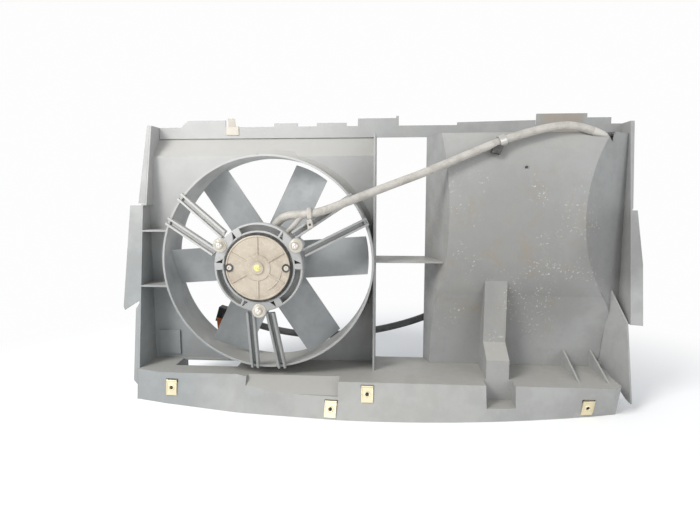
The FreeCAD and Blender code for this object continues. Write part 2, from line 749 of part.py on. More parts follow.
def make_motor():
    keep("motor_can", turned("motor_can", [
        ("sizes.can_radius - sizes.can_wall", PLATE_BACK + " + sizes.seat_gap"),
        ("sizes.can_radius", PLATE_BACK + " + sizes.seat_gap"),
        ("sizes.can_radius", "sizes.can_end"),
        ("sizes.bush_radius + sizes.seat_gap", "sizes.can_end"),
        ("sizes.bush_radius + sizes.seat_gap", "sizes.can_end - sizes.can_wall"),
        ("sizes.can_radius - sizes.can_wall", "sizes.can_end - sizes.can_wall"),
    ]))

    plate = doc.addObject("PartDesign::Body", "end_plate_turning")
    spun(plate, "Revolution", "end_plate_disc", [
        ("0", "sizes.plate_face - 3"), ("8", "sizes.plate_face - 3"), ("9", "sizes.plate_face"),
        ("sizes.can_radius + 1", "sizes.plate_face"), ("sizes.can_radius + 1", PLATE_BACK),
        ("sizes.bush_radius + 2", PLATE_BACK), ("sizes.bush_radius + 2", PLATE_BACK + " + 3"),
        ("sizes.bush_radius + sizes.seat_gap", PLATE_BACK + " + 3"),
        ("sizes.bush_radius + sizes.seat_gap", "sizes.plate_face + 1"), ("0", "sizes.plate_face + 1"),
    ])
    rib_sketch = new_sketch(plate, "rib_profile", "XZ_Plane")
    outline(rib_sketch, [("-0.8", "15"), ("0.8", "15"), ("0.8", "sizes.can_radius - 3"),
                         ("-0.8", "sizes.can_radius - 3")])
    rib_sketch.setExpression("AttachmentOffset.Base.z", "-sizes.plate_face")
    rib = plate.newObject("PartDesign::Pad", "end_plate_rib")
    rib.Profile = rib_sketch
    rib.Length = 1.2
    ribs = plate.newObject("PartDesign::PolarPattern", "end_plate_ribs")
    ribs.Originals = [rib]
    ribs.Axis = (rib_sketch, ["N_Axis"])
    ribs.Angle = 360
    ribs.Occurrences = 6
    plate.Tip = ribs
    screws = []
    holes = []
    for side in (-1, 1):
        tag = "_right" if side > 0 else "_left"
        x = "%d * (sizes.can_radius - 5)" % side
        shank = rod("screw_shank" + tag, "1.6", "sizes.plate_thickness + 1", "sizes.plate_face - sizes.seat_gap", x)
        head = rod("screw_head" + tag, "3.4", "2", "sizes.plate_face - sizes.seat_gap - 2", x)
        screws.append(fuse("screw" + tag, shank, head))
        holes.append(rod("screw_hole" + tag, "1.6 + sizes.seat_gap", "sizes.plate_thickness + 2",
                         "sizes.plate_face - 1", x))
    keep("end_plate_screws", group("screw_pair", screws))
    keep("motor_end_plate", cut("end_plate_drilled", plate, fuse("screw_holes", *holes)))

    flange = doc.addObject("PartDesign::Body", "motor_flange")
    flange_sketch = new_sketch(flange, "flange_outline", "XZ_Plane")
    ring_in(flange_sketch, "sizes.flange_radius")
    ring_in(flange_sketch, "sizes.can_radius + sizes.seat_gap")
    flange_sketch.setExpression("AttachmentOffset.Base.z", "-(%s)" % FLANGE_START)
    disc = flange.newObject("PartDesign::Pad", "flange_disc")
    disc.Profile = flange_sketch
    disc.setExpression("Length", "sizes.flange_thickness")
    disc.Reversed = True
    ears = []
    holes = []
    for angle in LUG_ANGLES:
        x, z = lug_place(angle)
        ears.append(rod("flange_ear_%d" % angle, "sizes.lug_radius - 1", "sizes.flange_thickness",
                        FLANGE_START, x, z))
        holes.append(rod("flange_hole_%d" % angle, "sizes.bolt_radius + 2 * sizes.seat_gap",
                         "sizes.flange_thickness + 2", FLANGE_START + " - 1", x, z))
    holes.append(rod("flange_bore", "sizes.can_radius + sizes.seat_gap", "sizes.flange_thickness + 2",
                     FLANGE_START + " - 1"))
    keep("motor_flange", cut("flange_drilled", fuse("flange_blank", flange, *ears), fuse("flange_holes", *holes)))

    magnet_ring = cut("magnet_ring",
                      rod("magnet_outer", "sizes.can_radius - sizes.can_wall - sizes.seat_gap",
                          "sizes.core_length + 6", "sizes.core_start - 3"),
                      rod("magnet_inner", "sizes.can_radius - sizes.can_wall - sizes.magnet_thickness",
                          "sizes.core_length + 8", "sizes.core_start - 4"))
    gap = block("magnet_gap", ("-2 * sizes.can_radius", "sizes.core_start - 5", "-9"),
                ("4 * sizes.can_radius", "sizes.core_length + 10", "18"))
    keep("field_magnets", cut("magnets_split", magnet_ring, gap))

    keep("rear_bush", turned("rear_bush", sleeve_corners(
        "sizes.shaft_radius + sizes.running_gap", "sizes.bush_radius",
        "sizes.can_end - sizes.bush_length", "sizes.can_end")))
    keep("front_bush", turned("front_bush", sleeve_corners(
        "sizes.shaft_radius + sizes.running_gap", "sizes.bush_radius",
        "sizes.plate_face + 1 + sizes.seat_gap", "sizes.plate_face + 1 + sizes.seat_gap + 5")))

    card = cut("card_drilled",
               rod("card_disc", "sizes.can_radius - sizes.can_wall - sizes.seat_gap", "2",
                   "sizes.commutator_start - 2.5"),
               rod("card_hole", "sizes.commutator_radius + 1.5", "4", "sizes.commutator_start - 3.5"))
    keep("brush_card", card)
    brushes = []
    boxes = []
    for side in (-1, 1):
        near = "sizes.commutator_radius + sizes.seat_gap"
        x = near if side > 0 else "-(%s) - sizes.brush_reach" % near
        brushes.append(block("brush_%s" % ("right" if side > 0 else "left"),
                             (x, "sizes.commutator_start - 0.5 + sizes.seat_gap", "-sizes.brush_width / 2"),
                             ("sizes.brush_reach", "sizes.brush_width", "sizes.brush_width")))
        start = "%s + sizes.brush_reach + sizes.seat_gap" % near
        spring_x = start if side > 0 else "-(%s) - 5" % start
        boxes.append(block("spring_%s" % ("right" if side > 0 else "left"),
                           (spring_x, "sizes.commutator_start - 0.5 + sizes.seat_gap", "-sizes.brush_width / 2 + 1"),
                           ("5", "sizes.brush_width - 2", "sizes.brush_width - 2")))
    keep("brushes", group("brush_pair", brushes))
    keep("brush_springs", group("spring_pair", boxes))


    washers = []
    for label, start in (("front", "sizes.commutator_start - sizes.seat_gap - sizes.washer_thickness"),
                         ("rear", "sizes.can_end - sizes.bush_length - sizes.seat_gap - sizes.washer_thickness")):
        washers.append(cut("washer_" + label,
                           rod("washer_outer_" + label, "sizes.bush_radius - 1", "sizes.washer_thickness", start),
                           rod("washer_inner_" + label, "sizes.shaft_radius + sizes.running_gap",
                               "sizes.washer_thickness + 2", start + " - 1")))
    keep("thrust_washers", group("washer_pair", washers))


def make_rotor():
    shaft_start = "sizes.plate_face + 1 + 2 * sizes.seat_gap"
    shaft = rod("shaft_rod", "sizes.shaft_radius", "sizes.shaft_end - (%s)" % shaft_start, shaft_start)
    pin_hole = doc.addObject("Part::Cylinder", "shaft_pin_hole")
    pin_hole.setExpression("Radius", "sizes.pin_radius + sizes.running_gap")
    pin_hole.setExpression("Height", "4 * sizes.shaft_radius")
    pin_hole.setExpression("Placement.Base.y", "sizes.boss_front + sizes.pin_radius")
    pin_hole.setExpression("Placement.Base.z", "-2 * sizes.shaft_radius")
    keep("motor_shaft", cut("shaft_drilled", shaft, pin_hole))

    pin = doc.addObject("Part::Cylinder", "drive_pin_rod")
    pin.setExpression("Radius", "sizes.pin_radius")
    pin.setExpression("Height", "2 * sizes.boss_radius - 2")
    pin.setExpression("Placement.Base.y", "sizes.boss_front + sizes.pin_radius")
    pin.setExpression("Placement.Base.z", "1 - sizes.boss_radius")
    keep("fan_drive_pin", group("drive_pin", [pin]))

    core = doc.addObject("PartDesign::Body", "armature_core")
    core_sketch = new_sketch(core, "core_outline", "XZ_Plane")
    ring_in(core_sketch, "sizes.core_radius")
    ring_in(core_sketch, "sizes.shaft_radius + sizes.running_gap")
    core_sketch.setExpression("AttachmentOffset.Base.z", "-sizes.core_start")
    stack = core.newObject("PartDesign::Pad", "core_stack")
    stack.Profile = core_sketch
    stack.setExpression("Length", "sizes.core_length")
    stack.Reversed = True
    slot_sketch = new_sketch(core, "slot_outline", "XZ_Plane")
    outline(slot_sketch, [
        ("sizes.core_radius - sizes.slot_depth", "-sizes.slot_width / 2"),
        ("sizes.core_radius + 2", "-sizes.slot_width / 2"),
        ("sizes.core_radius + 2", "sizes.slot_width / 2"),
        ("sizes.core_radius - sizes.slot_depth", "sizes.slot_width / 2"),
    ])
    slot_cut = core.newObject("PartDesign::Pocket", "core_slot")
    slot_cut.Profile = slot_sketch
    slot_cut.Type = "ThroughAll"
    slot_cut.Midplane = True
    slots = core.newObject("PartDesign::PolarPattern", "core_slot_pattern")
    slots.Originals = [slot_cut]
    slots.Axis = (slot_sketch, ["N_Axis"])
    slots.Angle = 360
    slots.setExpression("Occurrences", "sizes.core_slots")
    core.Tip = slots
    keep("armature_core", core)

    windings = []
    for label, start in (("front", "sizes.core_start - sizes.winding_length - sizes.seat_gap"),
                         ("rear", "sizes.core_start + sizes.core_length + sizes.seat_gap")):
        windings.append(cut("winding_" + label,
                            rod("winding_outer_" + label, "sizes.winding_radius", "sizes.winding_length", start),
                            rod("winding_inner_" + label, "sizes.bush_radius + 2",
                                "sizes.winding_length + 2", start + " - 1")))
    keep("armature_windings", group("winding_pair", windings))
    keep("commutator", turned("commutator", sleeve_corners(
        "sizes.shaft_radius + sizes.running_gap", "sizes.commutator_radius",
        "sizes.commutator_start", "sizes.commutator_start + sizes.commutator_length")))


def blade_section(body, name, radius):
    """Cambered blade section at one radius: two arcs closed by the two blade edges."""
    sketch = new_sketch(body, name, "YZ_Plane")
    sketch.setExpression("AttachmentOffset.Base.z", radius)
    near, far, half = s.blade_near, s.blade_far, s.blade_half_chord
    thick = s.blade_thickness
    bend = s.blade_camber
    formulas = [
        ("sizes.blade_near", "-sizes.blade_half_chord"),
        ("sizes.blade_far", "sizes.blade_half_chord"),
        ("sizes.blade_far + sizes.blade_thickness", "sizes.blade_half_chord"),
        ("sizes.blade_near + sizes.blade_thickness", "-sizes.blade_half_chord"),
    ]
    corners = [V(near, -half, 0), V(far, half, 0), V(far + thick, half, 0), V(near + thick, -half, 0)]

    def add_arc(a, b):
        chord = b - a
        middle = (a + b) * 0.5
        across = V(-chord.y, chord.x, 0).normalize()
        if across.x > 0:
            across = across * -1
        centre = middle + across * math.sqrt(bend * bend - chord.Length ** 2 / 4)
        sag = centre - across * bend
        arc = Part.Arc(a, sag, b)
        index = sketch.addGeometry(arc, False)
        stored = sketch.Geometry[index]
        first = 1 if (stored.StartPoint - a).Length < 1e-6 else 2
        limit = sketch.addConstraint(Sketcher.Constraint("Radius", index, bend))
        sketch.setExpression("Constraints[%d]" % limit, "sizes.blade_camber")
        return index, first

    low, low_first = add_arc(corners[0], corners[1])
    far_edge = sketch.addGeometry(Part.LineSegment(corners[1], corners[2]), False)
    high, high_first = add_arc(corners[3], corners[2])
    near_edge = sketch.addGeometry(Part.LineSegment(corners[3], corners[0]), False)
    pin_point(sketch, low, low_first, formulas[0])
    pin_point(sketch, low, 3 - low_first, formulas[1])
    pin_point(sketch, high, 3 - high_first, formulas[2])
    pin_point(sketch, high, high_first, formulas[3])
    for pair in ((far_edge, 1, low, 3 - low_first), (far_edge, 2, high, 3 - high_first),
                 (near_edge, 1, high, high_first), (near_edge, 2, low, low_first)):
        sketch.addConstraint(Sketcher.Constraint("Coincident", *pair))
    return sketch


def make_fan():
    """Six cambered blades on a cup-shaped hub that fits over the motor."""
    body = doc.addObject("PartDesign::Body", "fan_moulding")
    spun(body, "Revolution", "hub_cup", [
        ("0", "sizes.hub_front"), ("sizes.hub_radius", "sizes.hub_front"), ("sizes.hub_radius", "sizes.hub_back"),
        ("sizes.boss_radius + 2", "sizes.hub_back"), ("sizes.boss_radius", "sizes.boss_back"),
        ("0", "sizes.boss_back"),
    ])
    root = blade_section(body, "blade_root", "sizes.hub_radius - 10")
    tip = blade_section(body, "blade_tip", "sizes.ring_bore")
    blade = body.newObject("PartDesign::AdditiveLoft", "blade")
    blade.Profile = root
    blade.Sections = [tip]
    blade.Ruled = True
    spread = body.newObject("PartDesign::PolarPattern", "blades")
    spread.Originals = [blade]
    spread.Axis = (origin_plane(body, "Y_Axis"), [""])
    spread.Angle = 360
    spread.setExpression("Occurrences", "sizes.blade_count")
    body.Tip = spread
    inner = "sizes.hub_radius - sizes.hub_wall"
    spun(body, "Groove", "hub_hollow", [
        ("0", "sizes.hub_front - 5"), (inner, "sizes.hub_front - 5"), (inner, "sizes.hub_back - sizes.hub_wall"),
        ("sizes.boss_radius", "sizes.hub_back - sizes.hub_wall"), ("sizes.boss_radius", "sizes.boss_front"),
        ("0", "sizes.boss_front"),
    ])
    spun(body, "Groove", "shaft_bore", [
        ("0", "sizes.boss_front - 1"), ("sizes.shaft_radius + sizes.running_gap", "sizes.boss_front - 1"),
        ("sizes.shaft_radius + sizes.running_gap", "sizes.boss_back + 1"), ("0", "sizes.boss_back + 1"),
    ])
    tip_radius = "sizes.ring_bore - sizes.tip_gap"
    spun(body, "Groove", "tip_trim", [
        (tip_radius, "0"), ("sizes.ring_bore + 20", "0"),
        ("sizes.ring_bore + 20", "sizes.hub_back + 10"), (tip_radius, "sizes.hub_back + 10"),
    ])
    pin_slot = block("pin_slot", ("-sizes.pin_radius - sizes.running_gap", "sizes.boss_front - 1",
                                  "-2 * sizes.boss_radius"),
                     ("2 * (sizes.pin_radius + sizes.running_gap)",
                      "1 + 2 * sizes.pin_radius + sizes.running_gap", "4 * sizes.boss_radius"))
    keep("fan", cut("fan_slotted", body, pin_slot))
    keep("fan_clip", turned("fan_clip", sleeve_corners(
        "sizes.shaft_radius + sizes.running_gap", "sizes.boss_radius - 3",
        "sizes.boss_back + sizes.seat_gap", "sizes.boss_back + sizes.seat_gap + 1.5")))


# Fasteners
def make_fasteners():
    front, depth = "sizes.spider_front", "sizes.mount_depth"
    bolts, grommets, sleeves, nuts = [], [], [], []
    for angle in LUG_ANGLES:
        x, z = lug_place(angle)
        tag = "_%d" % angle
        head = front + " - 2 - sizes.seat_gap"
        bolt = fuse("bolt" + tag,
                    rod("bolt_shank" + tag, "sizes.bolt_radius", "sizes.bolt_length", head, x, z),
                    rod("bolt_flange" + tag, "sizes.bolt_flange", "1.2", head + " - 1.2", x, z),
                    rod("bolt_head" + tag, "sizes.bolt_head", "4", head + " - 5", x, z))
        bolts.append(bolt)
        sleeve_outer = "sizes.bolt_radius + sizes.seat_gap + sizes.sleeve_wall"
        sleeves.append(cut("sleeve" + tag,
                           rod("sleeve_outer" + tag, sleeve_outer, depth + " + 3 - sizes.seat_gap",
                               front + " - 2", x, z),
                           rod("sleeve_bore" + tag, "sizes.bolt_radius + sizes.seat_gap", depth + " + 6",
                               front + " - 4", x, z)))
        grommets.append(cut("grommet" + tag,
                            rod("grommet_outer" + tag, "sizes.grommet_radius", depth, front, x, z),
                            rod("grommet_bore" + tag, sleeve_outer + " + sizes.seat_gap", depth + " + 4",
                                front + " - 2", x, z)))
        nut_start = FLANGE_START + " + sizes.flange_thickness + sizes.seat_gap"
        nuts.append(cut("nut" + tag,
                        rod("nut_outer" + tag, "5.2", "sizes.nut_height", nut_start, x, z),
                        rod("nut_bore" + tag, "sizes.bolt_radius + sizes.running_gap", "sizes.nut_height + 2",
                            nut_start + " - 1", x, z)))
    keep("motor_bolts", group("bolt_set", bolts))
    keep("rubber_grommets", group("grommet_set", grommets))
    keep("spacer_sleeves", group("sleeve_set", sleeves))
    keep("motor_nuts", group("nut_set", nuts))


def clip_nut(x, z):
    """Folded sheet-metal nut that grips the front face through a slot."""
    half, sheet_t = s.clip_nut_width / 2, s.clip_nut_sheet
    height = s.clip_nut_height / 2
    gap = 0.4
    front0 = -gap - sheet_t
    back0 = s.wall + gap
    front = brick(-half, half, front0, front0 + sheet_t, -height, height)
    narrow = s.clip_nut_barrel + 1
    back = brick(-narrow, narrow, back0, back0 + sheet_t, -height * 0.6, height)
    bend = brick(-narrow, narrow, front0, back0 + sheet_t, height - sheet_t, height)
    barrel = Part.makeCylinder(s.clip_nut_barrel, s.clip_nut_barrel_length, V(0, back0, 0), V(0, 1, 0))
    nut = front.fuse(back).fuse(bend).fuse(barrel)
    nut = nut.cut(Part.makeCylinder(s.clip_nut_bore, 30, V(0, -10, 0), V(0, 1, 0)))
    nut = clean(nut)
    nut.Placement = face_frame(x, z)
    return nut


# Leads
def rounded_route(points, share=0.45):
    """Straight runs joined by tangent arcs as large as the shorter run allows."""
    points = [V(*p) for p in points]
    edges = []
    radii = []
    last = points[0]
    for a, b, c in zip(points, points[1:], points[2:]):
        into, out = (a - b), (c - b)
        setback = share * min(into.Length, out.Length)
        into.normalize()
        out.normalize()
        turn = math.pi - into.getAngle(out)
        radius = setback / math.tan(turn / 2)
        start, end = b + into * setback, b + out * setback
        inward = (into + out).normalize()
        centre = b + inward * (radius / math.cos(turn / 2))
        middle = centre + (b - centre).normalize() * radius
        edges.append(Part.LineSegment(last, start).toShape())
        edges.append(Part.Arc(start, middle, end).toShape())
        radii.append(round(radius, 1))
        last = end
    edges.append(Part.LineSegment(last, points[-1]).toShape())
    return Part.Wire(edges), radii


def tube(name, points, radius):
    """Round lead along a route; reports its bends and compares its volume."""
    path, radii = rounded_route(points)
    start, direction = V(*points[0]), V(*points[1]) - V(*points[0])
    ring = Part.Wire([Part.makeCircle(radius, start, direction)])
    solid = path.makePipeShell([ring], True, True)
    expected = math.pi * radius * radius * path.Length
    print(name, "length", round(path.Length, 1), "radii", radii, "volume ratio", round(solid.Volume / expected, 4))
    return solid


FRONT_ROUTE = (
    (17, -21, 52), (24, -24, 61), (37, -30, 67), (56, -35, 68), (79, -34, 71), (105, -26, 81),
    (136, -13, 93), (172, -2, 107), (215, 8, 123), (258, 17, 141), (303, 24, 160),
    (334, 29, 171), (365, 34, 180), (393, 38, 186), (419, 41, 187), (443, 46, 180),
)

REAR_ROUTE = (
    (443, 46, 180), (461, 49.75, 174.75), (471, 59, 162), (476, 72, 145), (474, 86, 124), (465, 100, 98),
    (449, 112, 68), (424, 122, 34), (390, 128, 0), (349, 131, -34), (297, 131, -67), (230, 130, -101), (172, 130, -120), (112, 130, -131),
    (52, 130, -136), (-4, 130, -131), (-50, 129, -119), (-80, 129, -110),
)


def collar(route, run, inner, outer, length):
    """Ring round a lead at the middle of one of its straight runs, with the frame it lies in."""
    a, b = V(*route[run]), V(*route[run + 1])
    along = (b - a).normalize()
    at = (a + b) * 0.5
    ring = Part.makeCylinder(outer, length, at - along * (length / 2), along)
    ring = ring.cut(Part.makeCylinder(inner, length + 2, at - along * (length / 2 + 1), along))
    return ring, at, along


def make_lead_fittings():
    """Rubber boot at the motor, strap with its buckle and the clip on the bulged panel."""
    inner = s.loom_radius + 0.5
    strap, at, along = collar(FRONT_ROUTE, 4, inner, inner + s.tie_thickness, 4.8)
    buckle = brick(-3.5, 3.5, -inner - 5, -inner - 0.5, -3, 3)
    buckle.Placement = Placement(at, Rotation(V(0, 0, 1), math.degrees(math.atan2(along.y, along.x))))
    strap = strap.fuse(buckle).cut(Part.makeCylinder(inner, 30, at - along * 15, along))
    keep_shape("cable_tie", strap)
    ring, at, along = collar(FRONT_ROUTE, 10, inner, inner + s.tie_thickness + 0.6, 9)
    foot = Part.makeCylinder(3, 16, at + V(0, inner, 0), V(0, 1, 0))
    foot = foot.cut(bulge_core(-0.1, s.rear_face))
    keep_shape("sleeve_clip", ring.fuse(foot))
    start, direction = V(*FRONT_ROUTE[0]), V(*FRONT_ROUTE[1]) - V(*FRONT_ROUTE[0])
    outward = V(start.x, 0, start.z).normalize()
    root = outward * (s.can_radius + s.seat_gap) + V(0, start.y, 0)
    stem = Part.makeCylinder(s.loom_radius + 1.5, (start - root).Length, root - outward * 1.5, outward)
    stem = stem.cut(Part.makeCylinder(s.can_radius + s.seat_gap, 60, V(0, -60, 0), V(0, 1, 0)))
    keep_shape("lead_boot", stem.cut(loom_end_tool(start, direction)))


def loom_end_tool(start, direction):
    """Clears the boot from the first stretch of the lead."""
    direction = V(direction).normalize()
    return Part.makeCylinder(s.loom_radius + s.seat_gap, 30, start, direction)


def make_rail_clip():
    """Spring clip pushed over the end of the left tab on the rail."""
    left, right = -81, -62
    sheet_t = s.clip_nut_sheet
    y0, y1 = s.rear_face - s.wall - 0.2 - sheet_t, s.rear_face + 0.2 + sheet_t
    low, high = s.rail_top - 12, s.rail_top + 0.2
    front = brick(left, right, y0, y0 + sheet_t, low, high + sheet_t)
    back = brick(left, right, y1 - sheet_t, y1, s.rail_top - 5, high + sheet_t)
    bend = brick(left, right, y0, y1, high, high + sheet_t)
    tongue = bar([(y0, high), (y0 + sheet_t, high), (y0 - 5 + sheet_t, high + 12), (y0 - 5, high + 12)],
                 left + 4, right - 4)
    keep_shape("rail_clip", clean(front.fuse(back).fuse(bend).fuse(tongue)))


def make_leads():
    keep_shape("loom_sleeve", tube("loom_sleeve", FRONT_ROUTE, s.loom_radius))
    keep_shape("rear_loom", tube("rear_loom", REAR_ROUTE, s.rear_loom_radius))
    end, before = V(*REAR_ROUTE[-1]), V(*REAR_ROUTE[-2])
    direction = (end - before).normalize()
    turn = math.degrees(math.atan2(direction.z, direction.x))
    body = brick(0, 34, -9, 9, -12, 12)
    body.Placement = Placement(end, Rotation(V(0, -1, 0), turn))
    lock = brick(10, 20, -6, 6, -15, -12)
    lock.Placement = body.Placement
    keep_shape("loom_connector", body)
    keep_shape("connector_lock", lock)


# Assembly
def make_cowl():
    ribs = make_window_ribs()
    ring = make_fan_ring()
    tray = make_bottom_tray()
    panel = make_fan_panel().cut(tray)
    bulge = make_bulge_panel()
    wall = make_right_wall().cut(tray).cut(bulge)
    keep_shape("window_ribs", ribs)
    keep_shape("fan_ring", ring)
    keep_shape("bottom_tray", tray)
    keep_shape("fan_panel", panel)
    keep_shape("bulge_panel", bulge)
    keep_shape("right_wall", wall)
    keep_shape("top_rail", make_top_rail().cut(panel))
    keep_shape("left_air_flaps", make_left_flaps().cut(panel))
    keep_shape("right_air_flaps", make_right_flaps())
    keep_shape("clip_nuts", Part.makeCompound([clip_nut(x, z) for x, z in CLIP_NUTS]))


make_cowl()
make_motor()
make_rotor()
make_fan()
make_fasteners()
make_leads()
make_lead_fittings()
make_rail_clip()
doc.recompute()

CORDS = ("rear_loom", "loom_connector", "connector_lock")
box = FreeCAD.BoundBox()
for name, item in pieces.items():
    if name not in CORDS:
        box.add(item.Shape.optimalBoundingBox(False))
shift = V(-(box.XMin + box.XMax) / 2, -(box.YMin + box.YMax) / 2, -box.ZMin)
print("shift", shift, "size", box.XLength, box.YLength, box.ZLength)
LEAD = Placement(V(0, 0, 0), Rotation(V(0, -1, 0), s.blade_lead))
for name, item in pieces.items():
    turn = LEAD if name in ("fan", "fan_drive_pin", "motor_shaft") else Placement()
    item.Placement = Placement(shift, Rotation()).multiply(turn).multiply(item.Placement)
doc.recompute()

faults = []
for item in doc.Objects:
    if {"Invalid", "Error"} & set(item.State):
        faults.append("%s: %s" % (item.Name, item.State))
for name, item in pieces.items():
    if item.Shape.isNull() or not item.Shape.isValid() or not item.Shape.Solids:
        faults.append("%s: no valid solid" % name)
if faults:
    raise SystemExit("\n".join(faults))

os.makedirs("parts", exist_ok=True)
for name, item in pieces.items():
    item.Shape.exportStep("parts/%s.step" % name)
    print(name, len(item.Shape.Solids), "solids")
for x, z in CLIP_NUTS:
    place = face_frame(x, z)
    print("clip nut", place.Base + shift, place.Rotation.multVec(V(0, -1, 0)))
print("fan axis", shift)
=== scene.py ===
import json
import math

import bpy
from mathutils import Matrix, Vector


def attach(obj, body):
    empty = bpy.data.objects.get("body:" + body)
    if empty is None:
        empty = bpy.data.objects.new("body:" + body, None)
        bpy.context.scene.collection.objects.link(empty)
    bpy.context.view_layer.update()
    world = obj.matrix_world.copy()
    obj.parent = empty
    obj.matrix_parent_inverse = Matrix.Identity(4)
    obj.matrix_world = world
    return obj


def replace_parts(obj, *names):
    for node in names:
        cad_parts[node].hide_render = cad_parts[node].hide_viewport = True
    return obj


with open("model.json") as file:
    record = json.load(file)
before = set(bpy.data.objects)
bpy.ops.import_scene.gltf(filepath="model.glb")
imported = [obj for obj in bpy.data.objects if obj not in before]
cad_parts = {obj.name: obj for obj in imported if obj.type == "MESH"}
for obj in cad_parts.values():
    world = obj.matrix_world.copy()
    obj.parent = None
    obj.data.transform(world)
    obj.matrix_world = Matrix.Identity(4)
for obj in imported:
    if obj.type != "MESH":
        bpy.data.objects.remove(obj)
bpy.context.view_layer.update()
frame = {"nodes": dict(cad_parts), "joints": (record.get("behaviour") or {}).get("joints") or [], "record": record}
nodes = frame["nodes"]

# Places are given in millimetres about the fan axis, as the construction gives them:
# x to the right, y to the back and z up; a place in the front view is x and z
AXIS = Vector(frame["joints"][0]["pos_m"])
PER_METRE = 1000.0


def place(x, y, z):
    """Metres in the frame for a point given in millimetres about the fan axis."""
    return AXIS + Vector((x, y, z)) / PER_METRE


# Colour sockets of a mix node, whose other sockets share their names
MIX_A, MIX_B, MIX_RESULT = 6, 7, 2
BEVEL_SAMPLES = 4

# Upward part of a normal from which dust lies and at which it is full
DUST_TILT = (0.15, 0.9)

# Turn of a normal from which a painted edge highlight starts and at which it is full
EDGE_TURN = (0.02, 0.3)


